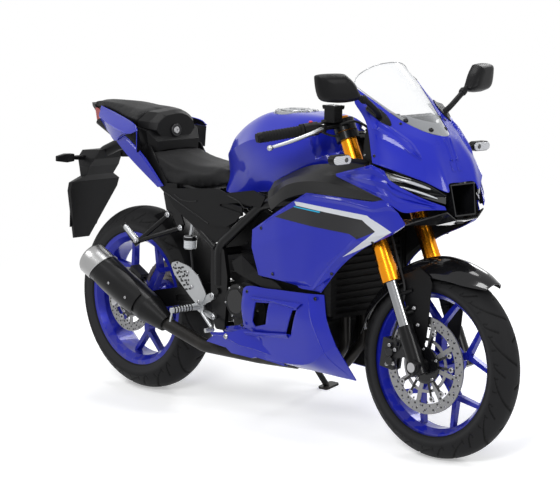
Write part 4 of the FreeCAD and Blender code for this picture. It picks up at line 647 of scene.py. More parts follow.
def rays_that_see_white(nodes, links, ray):
    """1 for the camera's rays and for those that reach it by a reflection or through glass."""
    both = None
    for name in ("Is Glossy Ray", "Is Transmission Ray"):
        join = nodes.new("ShaderNodeMath")
        join.operation = "MAXIMUM"
        links.new(both or ray.outputs["Is Camera Ray"], join.inputs[0])
        links.new(ray.outputs[name], join.inputs[1])
        both = join.outputs[0]
    return both


VIEW_AZIMUTH = math.radians(47.198)
VIEW_HEIGHT = math.radians(8.677)
VIEW_ROLL = math.radians(0.452)
VIEW_CENTRE = Vector((-27.994, 0, 566.355))
VIEW_DISTANCE = 7876.2
PHOTO_WIDTH = 560
FOCAL_PIXELS = 2440.64
SENSOR_WIDTH = 36
FLOOR_HALF = 30.0
LAMPS = (
    ("key", (2.2, -3.2, 3.6), (0.1, 0, 0.6), 1.3, 84),
    ("fill", (-2.4, -1.9, 3.9), (-0.2, 0, 0.5), 1.2, 44),
    ("front", (4.2, 0.4, 2.2), (0.3, 0, 0.6), 1.2, 48),
    ("top", (0.0, 0.4, 4.2), (0, 0, 0.5), 1.6, 62),
    ("far side", (-1.0, 3.6, 2.6), (0, 0, 0.6), 1.4, 48))


def build_camera(scene):
    """The photograph's view of the machine."""
    azimuth, height, roll = VIEW_AZIMUTH, VIEW_HEIGHT, VIEW_ROLL
    back = Vector((math.sin(azimuth) * math.cos(height), -math.cos(azimuth) * math.cos(height),
                   math.sin(height)))
    right = Vector((math.cos(azimuth), math.sin(azimuth), 0))
    up = back.cross(right)
    side = right * math.cos(roll) + up * math.sin(roll)
    top = up * math.cos(roll) - right * math.sin(roll)
    spot = VIEW_CENTRE + back * VIEW_DISTANCE
    place = PARKED @ (Matrix.Translation(spot) @ Matrix((side, top, back)).transposed().to_4x4())
    camera = bpy.data.objects.new("camera", bpy.data.cameras.new("camera"))
    camera.data.lens, camera.data.sensor_width = FOCAL_PIXELS / PHOTO_WIDTH * SENSOR_WIDTH, SENSOR_WIDTH
    camera.data.clip_end = 60
    scene.collection.objects.link(camera)
    spin = place.to_quaternion().to_matrix().to_4x4()
    camera.matrix_world = Matrix.Translation(place.to_translation()) @ spin
    scene.camera = camera
    scene.view_settings.view_transform = "Standard"


def build_world(scene):
    """White to the camera and to reflections, and a soft plain light for everything else."""
    world = bpy.data.worlds.new("studio")
    scene.world = world
    world.use_nodes = True
    nodes, links = world.node_tree.nodes, world.node_tree.links
    nodes.clear()
    ray = nodes.new("ShaderNodeLightPath")
    lit, white = nodes.new("ShaderNodeBackground"), nodes.new("ShaderNodeBackground")
    lit.inputs["Color"].default_value, lit.inputs["Strength"].default_value = (0.95, 0.97, 1.0, 1.0), 0.36
    white.inputs["Color"].default_value, white.inputs["Strength"].default_value = (1.0, 1.0, 1.0, 1.0), 1.0
    seen = rays_that_see_white(nodes, links, ray)
    mix, out = nodes.new("ShaderNodeMixShader"), nodes.new("ShaderNodeOutputWorld")
    links.new(seen, mix.inputs[0])
    links.new(lit.outputs[0], mix.inputs[1])
    links.new(white.outputs[0], mix.inputs[2])
    links.new(mix.outputs[0], out.inputs[0])


def build_floor(scene):
    """A pale floor that fades to the white background."""
    t = Tree("studio_floor")
    grain = t.noise(3.0, 2.0)
    plain = t.add("ShaderNodeBsdfDiffuse",
                  values={"Color": t.mix(grain, (0.9, 0.9, 0.9), (0.93, 0.93, 0.93))})
    glow = t.add("ShaderNodeEmission", values={"Color": (1.0, 1.0, 1.0), "Strength": 0.36})
    white = t.add("ShaderNodeEmission", values={"Color": (1.0, 1.0, 1.0), "Strength": 1.0})
    far = t.add("ShaderNodeVectorMath", {"operation": "LENGTH"}, {0: t.place()}, 1)
    fade = t.fade(far, 0.9, 2.6, 0.0, 1.0)
    near = t.add("ShaderNodeAddShader", values={0: plain, 1: glow})
    shown = t.add("ShaderNodeMixShader", values={0: fade, 1: near, 2: white})
    ray = t.tree.nodes.new("ShaderNodeLightPath")
    lifted = Value(t, rays_that_see_white(t.tree.nodes, t.tree.links, ray))
    floor_finish = t.finish(t.add("ShaderNodeMixShader", values={0: lifted, 1: plain, 2: shown}))
    mesh = bpy.data.meshes.new("studio_floor")
    half = FLOOR_HALF
    mesh.from_pydata([(-half, -half, 0), (half, -half, 0), (half, half, 0), (-half, half, 0)], [],
                     [(0, 1, 2, 3)])
    mesh.materials.append(floor_finish)
    floor = bpy.data.objects.new("studio_floor", mesh)
    scene.collection.objects.link(floor)


def build_stage():
    """The camera, the white surroundings, the floor and soft lamps."""
    scene = bpy.context.scene
    build_camera(scene)
    build_world(scene)
    build_floor(scene)
    for name, at, aim, wide, power in LAMPS:
        lamp = bpy.data.lights.new(name, "AREA")
        lamp.shape, lamp.size, lamp.energy = "DISK", wide, power
        obj = bpy.data.objects.new(name, lamp)
        obj.location = at
        obj.rotation_euler = (Vector(aim) - Vector(at)).to_track_quat("-Z", "Y").to_euler()
        scene.collection.objects.link(obj)


# Body panels

INSIDE = Vector((150, 0, 560))


def facing_out(rows, centre=INSIDE):
    """The rows, turned if need be so that their faces look away from the middle of the machine."""
    normal, spot = Vector(), Vector()
    for i in range(len(rows) - 1):
        for j in range(len(rows[0]) - 1):
            a, b, c = rows[i][j], rows[i][j + 1], rows[i + 1][j]
            normal += (b - a).cross(c - a)
            spot += a
    spot /= (len(rows) - 1) * (len(rows[0]) - 1)
    away = spot - centre
    if abs(spot.y) > 60:
        away = Vector((0, away.y, 0))
    return rows if normal.dot(away) > 0 else [row[::-1] for row in rows]


def skin(name, finish, columns, along, across, both=True, folds=(), breaks=(), centre=INSIDE, **settings):
    """A moulded panel as a thin shell: the right side's and its mirror image, or one across the machine."""
    rows = panel_rows(columns, along, across, not both, breaks, folds)
    piece = Piece(name, finish, "satin black").grid(facing_out(rows, centre))
    if both:
        piece.mirrored()
    return piece.made("chassis", shell=panel_skin(), bevel=edge_round(), sharp=17.0, outward=False, lining=1,
                      **settings)


def panel_skin():
    return bpy.context.scene.motorcycle_sizes.panel_skin / MM


def edge_round():
    return bpy.context.scene.motorcycle_sizes.edge_round / MM


COWL = [
    [(436, -142, 1128), (470, -160, 1074), (528, -166, 1014), (590, -202, 908)],
    [(513, -116, 1080), (536, -146, 1046), (574, -170, 996), (622, -194, 900)],
    [(590, -86, 1029), (616, -118, 1000), (650, -142, 952), (670, -170, 885)],
    [(650, -56, 1000), (676, -82, 974), (708, -104, 922), (736, -122, 858)],
    [(676, -38, 990), (700, -58, 962), (738, -74, 904), (774, -68, 827)],
    [(690, -22, 986), (708, -34, 957), (738, -44, 905), (765, -54, 850)],
    [(701, 0, 983), (714, 0, 955), (738, 0, 903), (759, 0, 850)]]
SCREEN = [
    [(442, -136, 1128), (441, -136, 1127.5)],
    [(430, -112, 1150), (512, -112, 1080)],
    [(444, -82, 1172), (588, -82, 1029)],
    [(456, -50, 1184), (648, -53, 1000)],
    [(463, -22, 1188), (688, -20, 986)],
    [(464, 0, 1189), (698, 0, 983)]]


def build_upper_cowl():
    skin("upper_cowl_shell", "paint", COWL, 6, 6, both=False, folds=(3, 9), breaks=(1,),
         centre=Vector((520, 0, 900)),
         slot="paint_blue", stands_for=("upper_cowl",))
    rows = panel_rows(COWL, 6, 6)
    panel_bolts("cowl_bolts", rows, ((0.34, 0.11), (0.06, 0.93)), 5.0)
    cover = Piece("mirror_foot_covers", "satin black")
    outline = [(0.112, 0.26), (0.135, 0.185), (0.175, 0.13), (0.215, 0.11), (0.25, 0.15), (0.275, 0.22),
               (0.285, 0.3),
               (0.272, 0.375), (0.222, 0.389), (0.153, 0.35)]
    ring, low = [], []
    for u, v in outline:
        spot, normal = on_panel(rows, u, v)
        ring.append(spot + normal * 2.5)
        low.append(spot - normal * 3)
    middle = sum(ring, Vector()) / len(ring)
    inner = [p.lerp(middle, 0.12) + Vector((0, -1.5, 1.0)) for p in ring]
    crown = [p.lerp(middle, 0.5) + Vector((0, -4.0, 2.5)) for p in ring]
    cover.grid([low, ring, inner, crown], closed=True, caps=True)
    cover.mirrored().made("chassis", sharp=40, slot="plastic_black")


def crease(piece, rows, line, height=1.8, width=5.0, finish=0, lift=0.0):
    """A raised line over a panel; the line's points are shares along and down the panel."""
    path = refined([(u, v, 0) for u, v in line], 8)
    spots = [on_panel(rows, p.x, p.y) for p in path]
    low, crest, far = [], [], []
    for k, (spot, normal) in enumerate(spots):
        ahead = spots[min(k + 1, len(spots) - 1)][0] - spots[max(k - 1, 0)][0]
        over = ahead.cross(normal).normalized()
        spot = spot + normal * lift * min(1.0, 9 * k / len(spots), 9 * (len(spots) - 1 - k) / len(spots))
        swell = math.sin(math.pi * min(1.0, 0.08 + 3 * min(k, len(spots) - 1 - k) / len(spots)) / 2)
        low.append(spot + over * width / 2 * swell - normal * 0.8)
        crest.append(spot + normal * height * swell)
        far.append(spot - over * width / 2 * swell - normal * 0.8)
    piece.grid([low, crest, far], finish)


def facets(piece, rows, lines, heights, finish=0, fade=0.12):
    """Relief over a panel: lines of (along, down) shares, each lifted by its height and sunk at both ends."""
    steps, sunk = 26, 0.8
    grid = []
    for line, height in zip(lines, heights):
        path = refined([(u, v, 0) for u, v in line], 6)
        row = []
        for k in range(steps + 1):
            share = k / steps
            at = min(share * (len(path) - 1), len(path) - 1.001)
            p = path[int(at)].lerp(path[int(at) + 1], at - int(at))
            spot, normal = on_panel(rows, p.x, p.y)
            row.append(spot + normal * ((height + sunk) * min(1.0, share / fade, (1 - share) / fade) - sunk))
        grid.append(row)
    piece.grid(grid, finish)


def build_panel_creases():
    """The raised folds and ledges of the nose, the cheeks and the sides."""
    folds = Piece("panel_creases", "paint", "side paint")
    cowl = panel_rows(COWL, 6, 6, False, (1,), (3,))
    facets(folds, cowl, [
        [(0.15, 0.3), (0.21, 0.36), (0.28, 0.33), (0.36, 0.36), (0.43, 0.43), (0.47, 0.56), (0.497, 0.68)],
        [(0.125, 0.389), (0.201, 0.444), (0.271, 0.417), (0.333, 0.444), (0.403, 0.5), (0.444, 0.597),
         (0.493, 0.694)],
        [(0.115, 0.53), (0.205, 0.54), (0.275, 0.51), (0.333, 0.53), (0.4, 0.585), (0.444, 0.65),
         (0.493, 0.7)],
        [(0.104, 0.653), (0.208, 0.625), (0.278, 0.597), (0.333, 0.597), (0.396, 0.653), (0.444, 0.68),
         (0.493, 0.705)],
        [(0.09, 0.74), (0.2, 0.72), (0.29, 0.69), (0.35, 0.68), (0.4, 0.7), (0.444, 0.71), (0.495, 0.715)]],
        (-0.8, 5.5, 0.8, 4.0, -0.8))
    facets(folds, cowl, [[(0.86, 0.03), (0.89, 0.153), (0.91, 0.389), (0.92, 0.6), (0.93, 0.8)],
                         [(0.905, 0.03), (0.93, 0.153), (0.95, 0.389), (0.955, 0.6), (0.96, 0.8)],
                         [(0.95, 0.03), (0.97, 0.153), (0.985, 0.389), (0.985, 0.6), (0.985, 0.8)]],
                         (-0.8, 3.5, -0.8))
    crease(folds, cowl, [(0.005, 0.985), (0.2, 0.99), (0.354, 0.99), (0.507, 0.99), (0.667, 0.99)], 1.2, 4)
    cheek = panel_rows(CHEEK, 6, 5, False, (1,), (1, 2))
    facets(folds, cheek, [
        [(0.01, 0.04), (0.25, 0.03), (0.5, 0.1), (0.75, 0.04), (0.99, 0.05)],
        [(0.02, 0.1), (0.25, 0.12), (0.517, 0.2), (0.6, 0.22), (0.767, 0.14), (0.97, 0.17)],
        [(0.03, 0.28), (0.25, 0.29), (0.5, 0.36), (0.75, 0.31), (0.96, 0.38)],
        [(0.03, 0.44), (0.2, 0.46), (0.342, 0.47), (0.6, 0.5), (0.95, 0.54)],
        [(0.05, 0.62), (0.3, 0.63), (0.6, 0.61), (0.94, 0.63)],
        [(0.08, 0.86), (0.4, 0.8), (0.75, 0.71), (0.94, 0.75)],
        [(0.08, 0.97), (0.4, 0.96), (0.75, 0.94), (0.97, 0.92)]], (-0.8, 4.5, 0.5, 5.5, 0.6, 5.0, -0.8),
        fade=0.08)
    side = panel_rows(SIDE, 6, 6, False, (1, 2), (1, 2))
    facets(folds, side, [
        [(0.02, 0.006), (0.34, 0.006), (0.6, 0.012), (0.8, 0.02), (0.985, 0.01)],
        [(0.02, 0.03), (0.34, 0.03), (0.542, 0.075), (0.715, 0.155), (0.86, 0.11), (0.985, 0.03)],
        [(0.02, 0.075), (0.34, 0.08), (0.542, 0.15), (0.715, 0.25), (0.86, 0.24), (0.985, 0.18)]],
        (-0.8, 4.5, -0.8), 1, 0.06)
    facets(folds, side, [
        [(0.62, 0.57), (0.5, 0.68), (0.35, 0.81), (0.2, 0.95)],
        [(0.645, 0.62), (0.52, 0.72), (0.37, 0.85), (0.215, 0.98)],
        [(0.72, 0.8), (0.61, 0.9), (0.47, 0.96), (0.3, 0.99)],
        [(0.76, 0.96), (0.64, 0.985), (0.5, 0.99), (0.33, 0.995)]], (-0.8, 7.0, 1.5, -0.8), 1, 0.05)
    crease(folds, side, [(0.01, 0.5), (0.012, 0.75), (0.014, 0.98)], 1.0, 4)
    belly = panel_rows(BELLY, 6, 8, False, (2,), (5,))
    crease(folds, belly, [(0.835, 0.05), (0.835, 0.3), (0.84, 0.6), (0.86, 0.8), (0.95, 0.97)], 2.0, 7)
    crease(folds, belly, [(0.02, 0.5), (0.2, 0.6), (0.45, 0.68), (0.7, 0.68)], 1.4, 6)
    tail = panel_rows(TAIL, 6, 6, False, (1,), ())
    crease(folds, tail, [(0.03, 0.5), (0.3, 0.5), (0.6, 0.48), (0.95, 0.5)], 2.2, 6)
    crease(folds, tail, [(0.02, 0.03), (0.35, 0.03), (0.7, 0.03), (0.97, 0.05)], 1.2, 4)
    strip = panel_rows(STRIP, 6, 3)
    crease(folds, strip, [(0.03, 0.1), (0.35, 0.12), (0.7, 0.12), (0.97, 0.15)], 2.0, 6)
    folds.mirrored().made("chassis", sharp=11, outward=False, slot="paint_blue")
    beads = Piece("crease_beads", "paint", "side paint")
    for rows, line, lift, mark in (
            (cowl, [(0.13, 0.389), (0.201, 0.444), (0.271, 0.417), (0.333, 0.444), (0.403, 0.5),
                    (0.444, 0.597),
                    (0.485, 0.685)], 5.0, 0),
            (cowl, [(0.11, 0.653), (0.208, 0.625), (0.278, 0.597), (0.333, 0.597), (0.396, 0.653),
                    (0.485, 0.70)],
             3.5, 0),
            (cowl, [(0.91, 0.06), (0.93, 0.153), (0.95, 0.389), (0.955, 0.6), (0.96, 0.78)], 3.2, 0),
            (cheek, [(0.04, 0.1), (0.25, 0.12), (0.517, 0.2), (0.6, 0.22), (0.767, 0.14), (0.95, 0.17)], 4.1,
             0),
            (cheek, [(0.05, 0.45), (0.2, 0.46), (0.342, 0.47), (0.6, 0.5), (0.93, 0.54)], 5.1, 0),
            (cheek, [(0.1, 0.86), (0.4, 0.8), (0.75, 0.71), (0.92, 0.75)], 4.6, 0),
            (side, [(0.03, 0.03), (0.34, 0.03), (0.542, 0.075), (0.715, 0.155), (0.86, 0.11), (0.975, 0.03)],
             4.1, 1)):
        crease(beads, rows, line, 1.7, 6.5, mark, lift)
    beads.mirrored().made("chassis", sharp=80, outward=False, slot="paint_blue")
    liner = Piece("slot_liners", "gloss black")
    liner.grid([[(606, -190, 902), (668, -160, 884), (730, -114, 862), (760, -62, 842)],
                [(602, -178, 884), (664, -148, 868), (716, -108, 846), (742, -60, 818)],
                [(600, -168, 864), (660, -138, 846), (708, -100, 824), (730, -56, 800)]])
    liner.grid([[(330, -194, 816), (480, -192, 824), (640, -182, 826)],
                [(330, -198, 772), (480, -198, 776), (640, -182, 776)]])
    liner.mirrored().made("chassis", shell=2.0, sharp=50, outward=False, slot="plastic_black")


def rear_hugger():
    """The rows of half the curved panel between the rear tyre and the frame."""
    radius, half_width, drop = 338, 78, 16
    rows = []
    for k in range(15):
        a = math.radians(14 + 54 * k / 14)
        x, z = REAR_AXLE.x + radius * math.cos(a), REAR_AXLE.z + radius * math.sin(a)
        rows.append([(x - drop * math.cos(a) * abs(w) ** 3, half_width * w,
                      z - drop * math.sin(a) * abs(w) ** 3)
                     for w in (-1, -0.8, -0.5, 0)])
    return rows


def build_fillers():
    """Black inner panels between the frame's tubes, and the lower flap of the belly pan with its bolt."""
    inner = Piece("inner_panels", "satin black", "black bolt")
    inner.slab([(-445, -141, 722), (-190, -141, 634), (-118, -141, 634), (-100, -141, 606), (-199, -141, 566),
                (-396, -141, 668)], (0, 3, 0))
    inner.slab([(-228, -62, 600), (-150, -62, 652), (-50, -62, 688), (60, -62, 660), (30, -62, 440),
                (-140, -62, 425),
                (-212, -62, 452)], (0, 5, 0))
    inner.slab([(-476, -122, 738), (-398, -122, 742), (-398, -122, 698), (-440, -122, 702),
                (-476, -122, 716)],
               (0, 3, 0))
    inner.grid(rear_hugger())
    inner.slab([(-226, -62, 345), (-180, -62, 350), (-172, -62, 285), (-222, -62, 285)], (0, 5, 0))
    for z in (470, 505, 540):
        inner.tube([(-190, -64, z), (-60, -64, z + 6)], 4, 8, 0, 1)
    inner.bolt((-120, -62, 572), (0, -1, 0), 6, 3, 1)
    inner.mirrored().made("chassis", bevel=1.0, sharp=30, slot="plastic_black")
    lines = Piece("side_cover_ribs", "trim black")
    for path in ([(-374, -153, 712), (-336, -153, 697), (-290, -153, 697), (-262, -153, 702)],
                 [(-425, -153, 716), (-330, -153, 680), (-205, -153, 634)],
                 [(-112, -153, 735), (-60, -153, 722), (-30, -153, 700)]):
        lines.tube(path, 2.2, 8, 0, 4)
    lines.mirrored().made("chassis", sharp=60, slot="plastic_black")
    flap = Piece("belly_flap", "paint", "bolt steel")
    low = [(-196, 250), (-102, 243), (-76, 229), (19, 226), (36, 231), (111, 223), (150, 218)]
    high = [(-170, 286), (-120, 292), (-60, 302), (-10, 318), (60, 322), (120, 318), (160, 300)]
    mid = [(-158, 279), (-110, 284), (-66, 274), (-24, 264), (38, 260), (100, 250), (155, 240)]
    flap.grid([[(x, y + max(0, x + 10) * 0.14, z + drop) for x, z in line]
               for line, y, drop in ((high, -176, 0), (mid, -178, 0), (mid, -173, -4), (low, -166, 0),
                                     (low, -150, -2))])
    flap.bolt((-89, -177, 283), (0, -1, 0), 7, 3.5, 1)
    flap.made("chassis", shell=2.4, bevel=0.8, sharp=20, outward=(0, -1, 0), slot="paint_blue")


def build_cowl_stay():
    """The black stay behind the nose, with its cover plates."""
    stay = Piece("cowl_stay_frame", "satin black")
    root = steer_point(24, 0, 945)
    stay.tube([root, (520, 0, 890), (604, 0, 905)], 11, 16)
    stay.tube([(600, -148, 880), (600, 0, 905), (600, 148, 880)], 9, 16)
    stay.rod((600, 0, 905), (652, 0, 842), 8)
    side = Piece("cowl_side_plates", "satin black", "bolt steel")
    side.rod((600, -60, 900), (560, -60, 976), 8)
    side.slab([(x, -146, z) for x, z in ((498, 912), (560, 894), (600, 876), (600, 912), (556, 985),
                                         (540, 1000),
                                         (507, 1000))], (0, -4, 0))
    for x, z in ((508, 990), (540, 990), (506, 920)):
        side.bolt((x, -150, z), (0, -1, 0), 4, 2.5, 1)
    stay.made("chassis", sharp=30, stands_for=("cowl_stay",), slot="frame_black")
    side.mirrored().made("chassis", sharp=30, bevel=1.0, slot="frame_black")


def build_screen():
    columns = SCREEN + [[(x, -y, z) for x, y, z in column] for column in SCREEN[-2::-1]]
    tops = refined([c[0] for c in columns], 6)
    lows = refined([c[1] for c in columns], 6)
    steps, bulge, bulge_way = 12, 9 / 300, Vector((0.5, 0, 0.86))
    rows = []
    for k in range(steps + 1):
        share = k / steps
        rows.append([a.lerp(b, share) + bulge_way * (bulge * math.sin(math.pi * share) * (a - b).length)
                     for a, b in zip(tops, lows)])
    piece = Piece("clear_screen", "screen", "screen edge")
    piece.grid(rows)
    wide = len(rows[0]) - 1
    for index in range(len(piece.faces)):
        row, column = divmod(index, wide)
        middle = row == steps - 2 and 14 < column < wide - 15
        if row == steps - 1 or column in (0, wide - 1) or middle:
            piece.marks[index] = 1
    piece.made("chassis", shell=3.0, sharp=60, outward=Vector((1, 0, 1)), slot="screen_clear",
               stands_for=("windscreen",))
    rim = Piece("screen_edge_bead", "screen edge")
    rim.tube(tops, 1.5, 8, parts=1)
    rim.made("chassis")
    bolts = Piece("screen_bolts", "black bolt", "rubber")
    for k in (14, 22):
        for side in (k, len(lows) - 1 - k):
            spot = lows[side].lerp(tops[side], 0.06)
            out = Vector((0.55, 0.35 if spot.y > 0 else -0.35, 0.8))
            bolts.rod(spot - out * 2, spot + out * 2.5, 8, finish=1)
            bolts.bolt(spot + out * 2.2, out, 5.5, 3)
    bolts.made("chassis")


SIDE = [
    [(48, -190, 646), (52, -196, 590), (74, -186, 504), (80, -174, 500)],
    [(180, -204, 720), (190, -210, 630), (195, -190, 500), (200, -176, 494)],
    [(311, -206, 791), (340, -212, 690), (290, -190, 512), (340, -168, 480)],
    [(470, -206, 792), (470, -204, 730), (430, -186, 612), (424, -160, 574)],
    [(590, -204, 792), (580, -200, 742), (530, -180, 668), (520, -160, 640)],
    [(640, -198, 800), (650, -186, 756), (645, -174, 700), (630, -162, 690)],
    [(674, -174, 764), (684, -170, 748), (692, -162, 729), (680, -154, 722)]]
CHEEK = [
    [(440, -207, 862), (442, -208, 858), (444, -208, 854)],
    [(590, -207, 903), (604, -212, 854), (634, -206, 806)],
    [(634, -197, 888), (644, -199, 848), (656, -191, 788)],
    [(656, -186, 857), (668, -182, 824), (690, -166, 766)],
    [(720, -137, 815), (724, -137, 800), (735, -127, 774)],
    [(780, -86, 786), (781, -84, 781), (782, -82, 776)]]
WING = [
    [(96, -168, 770), (110, -182, 742), (132, -188, 716)],
    [(220, -188, 826), (225, -210, 806), (226, -202, 766)],
    [(360, -198, 850), (362, -218, 832), (362, -206, 796)],
    [(500, -200, 846), (505, -216, 826), (505, -208, 800)],
    [(632, -206, 808), (634, -206, 805), (636, -206, 802)]]
TRIM = [
    [(96, -142, 800), (96, -166, 769)],
    [(250, -150, 862), (220, -186, 824)],
    [(400, -170, 888), (360, -196, 848)],
    [(560, -188, 912), (500, -198, 845)]]
BELLY = [
    [(-150, -136, 300), (-150, -138, 290), (-150, -132, 282), (-148, -112, 276)],
    [(-20, -160, 340), (-20, -162, 300), (-20, -140, 240), (-16, -100, 226)],
    [(0, -182, 452), (0, -184, 380), (20, -152, 240), (24, -96, 218)],
    [(120, -186, 466), (122, -188, 390), (120, -158, 232), (122, -92, 210)],
    [(250, -186, 472), (262, -190, 392), (270, -158, 244), (270, -86, 206)],
    [(300, -184, 474), (318, -188, 394), (346, -160, 290), (350, -84, 204)],
    [(352, -166, 475), (368, -168, 394), (392, -152, 318), (420, -90, 206)]]


def build_side_fairings():
    skin("side_fairing_shells", "side paint", SIDE, 6, 6, folds=(1, 2), breaks=(1, 2), slot="paint_blue",
         stands_for=("side_fairings",))
    skin("headlight_cheeks", "paint", CHEEK, 6, 5, folds=(1, 2), breaks=(1,), slot="paint_blue",
         centre=Vector((600, 0, 830)))
    panel_bolts("fairing_bolts", panel_rows(SIDE, 6, 6),
                ((0.06, 0.08), (0.1, 0.6), (0.44, 0.9), (0.72, 0.95)), 5.5)


def build_wing_trims():
    skin("wing_trim_shells", "trim black", WING, 8, 6, breaks=(1,), slot="plastic_black",
         stands_for=("wing_trims",))
    skin("wing_upper_trims", "trim black", TRIM, 8, 3, slot="plastic_black", centre=Vector((200, 0, 700)))


def build_belly_pan():
    pan = skin("belly_pan_shells", "paint", BELLY, 6, 8, folds=(5,), breaks=(2,), slot="paint_blue",
               stands_for=("belly_pan",))
    holes = []
    for number, outline in enumerate((
            [(64, 416), (128, 422), (104, 350), (50, 334), (40, 350)],
            [(236, 414), (256, 417), (218, 332), (194, 332)],
            [(64, 302), (77, 297), (72, 264), (58, 267)])):
        for side in (1, -1):
            prism = Piece(f"belly_hole_{number}_{side}",
                          "paint").slab([(x, 110 * side, z) for x, z in outline],
                                                                      (0, 130 * side, 0))
            holes.append(prism.made("chassis"))
    cut(pan, holes)
    edge = Piece("belly_ledges", "paint")
    edge.grid([[(42, -184, 430), (160, -190, 436), (282, -190, 440)],
               [(43, -196, 432), (160, -199, 438), (282, -197, 441)],
               [(48, -197, 427), (160, -200, 432), (262, -198, 424)],
               [(52, -184, 420), (160, -189, 424), (256, -188, 416)]])
    edge.grid([[(6, -184, 314), (110, -180, 322), (214, -184, 334)],
               [(6, -190, 316), (110, -187, 324), (214, -190, 336)],
               [(10, -189, 311), (110, -186, 318), (208, -189, 330)],
               [(14, -178, 302), (110, -172, 308), (204, -176, 318)]])
    edge.mirrored().made("chassis", sharp=25, bevel=1.0)
    bolts = Piece("belly_bolts", "bolt steel", "black bolt")
    for at, finish in (((-128, -138, 296), 0), ((-6, -182, 332), 1), ((330, -182, 462), 1),
                       ((20, -184, 444), 1)):
        bolts.bolt(at, (0, -1, 0), 6, 4, finish)
    bolts.mirrored().made("chassis")


def evaluated_mesh(obj):
    """A copy of the object's mesh with its modifiers applied."""
    return bpy.data.meshes.new_from_object(obj.evaluated_get(bpy.context.evaluated_depsgraph_get()))


def cut(obj, cutters, overlapping=False):
    """Cuts closed forms out of a piece, its shell included; overlapping says that its own parts cross."""
    bpy.context.view_layer.update()
    bevel = next((m for m in obj.modifiers if m.type == "BEVEL"), None)
    width = bevel.width if bevel else 0
    if bevel:
        obj.modifiers.remove(bevel)
    for cutter in cutters:
        difference = obj.modifiers.new("cut", "BOOLEAN")
        difference.operation, difference.object, difference.solver = "DIFFERENCE", cutter, "EXACT"
        difference.use_self = overlapping
    shaped = evaluated_mesh(obj)
    old = obj.data
    obj.modifiers.clear()
    obj.data = shaped
    bpy.data.meshes.remove(old)
    for cutter in cutters:
        bpy.data.objects.remove(cutter)
    if width:
        edge = obj.modifiers.new("Rounded edges", "BEVEL")
        edge.width, edge.segments, edge.limit_method, edge.angle_limit = width, 2, "ANGLE", math.radians(40)


# Tank, seats and tail


def tank_ring(x, top, crown, shoulder, waist, low):
    half = [crown, shoulder, waist, low]
    return [(x, 0, top), *[(x, -y, z) for y, z in half], *[(x, y, z) for y, z in reversed(half)]]


TANK = [
    tank_ring(318, 968, (50, 962), (84, 930), (96, 876), (76, 822)),
    tank_ring(262, 1001, (60, 996), (112, 950), (126, 880), (98, 806)),
    tank_ring(180, 1012, (74, 1004), (138, 948), (150, 872), (118, 790)),
    tank_ring(80, 1011, (76, 1003), (146, 936), (150, 860), (118, 766)),
    tank_ring(-20, 1004, (72, 996), (140, 920), (128, 836), (108, 752)),
    tank_ring(-110, 972, (64, 960), (116, 890), (96, 812), (100, 738)),
    tank_ring(-176, 934, (52, 920), (88, 866), (74, 800), (94, 735)),
    tank_ring(-212, 912, (34, 900), (62, 850), (56, 800), (70, 742))]


CAP_X = 47.0


def ring_loft(name, finish, sections, along, around, breaks):
    """A closed body through rings of points, smooth except at the ring corners named."""
    rows = [refined(s + s[:1], around, breaks)[:-1] for s in sections]
    rows = [list(r) for r in zip(*[refined(list(line), along) for line in zip(*rows)])]
    return Piece(name, finish).grid(rows, closed=True, caps=True)


LEG_LOW, CLAMP_LOW, CLAMP_HIGH, BRIDGE_HIGH = 836, 1022, 1110, 1138
# Name, radii from the stem, lower end along it and the angle that each side takes up beyond the lock
SWEPT_ROOMS = (("clamp_room", 71, 157, CLAMP_LOW, math.radians(28)),
               ("leg_room", 82, 147, LEG_LOW, math.radians(17)))


def steering_rooms():
    """The spaces that the clamps and fork legs pass through between the steering's stops, as cutters."""
    bridge = (steer_point(0, 0, CLAMP_LOW), steer_point(0, 0, BRIDGE_HIGH))
    rooms = [Piece("bridge_room", "paint").rod(*bridge, 75, 48, edge=0.1).made("chassis")]
    straight = math.atan2(FORK_SIDE, FORK_AHEAD)
    for side in (1, -1):
        for name, near, far, low, spread in SWEPT_ROOMS:
            rows = []
            for k in range(13):
                a = straight + (LOCK + spread) * (k / 6 - 1)
                rows.append([steer_point(r * math.cos(a), side * r * math.sin(a), along)
                             for r, along in ((near, low), (far, low), (far, CLAMP_HIGH),
                                              (near, CLAMP_HIGH))])
            rooms.append(Piece(f"{name}_{side}", "paint").grid(rows, closed=True, caps=True).made("chassis"))
    return rooms


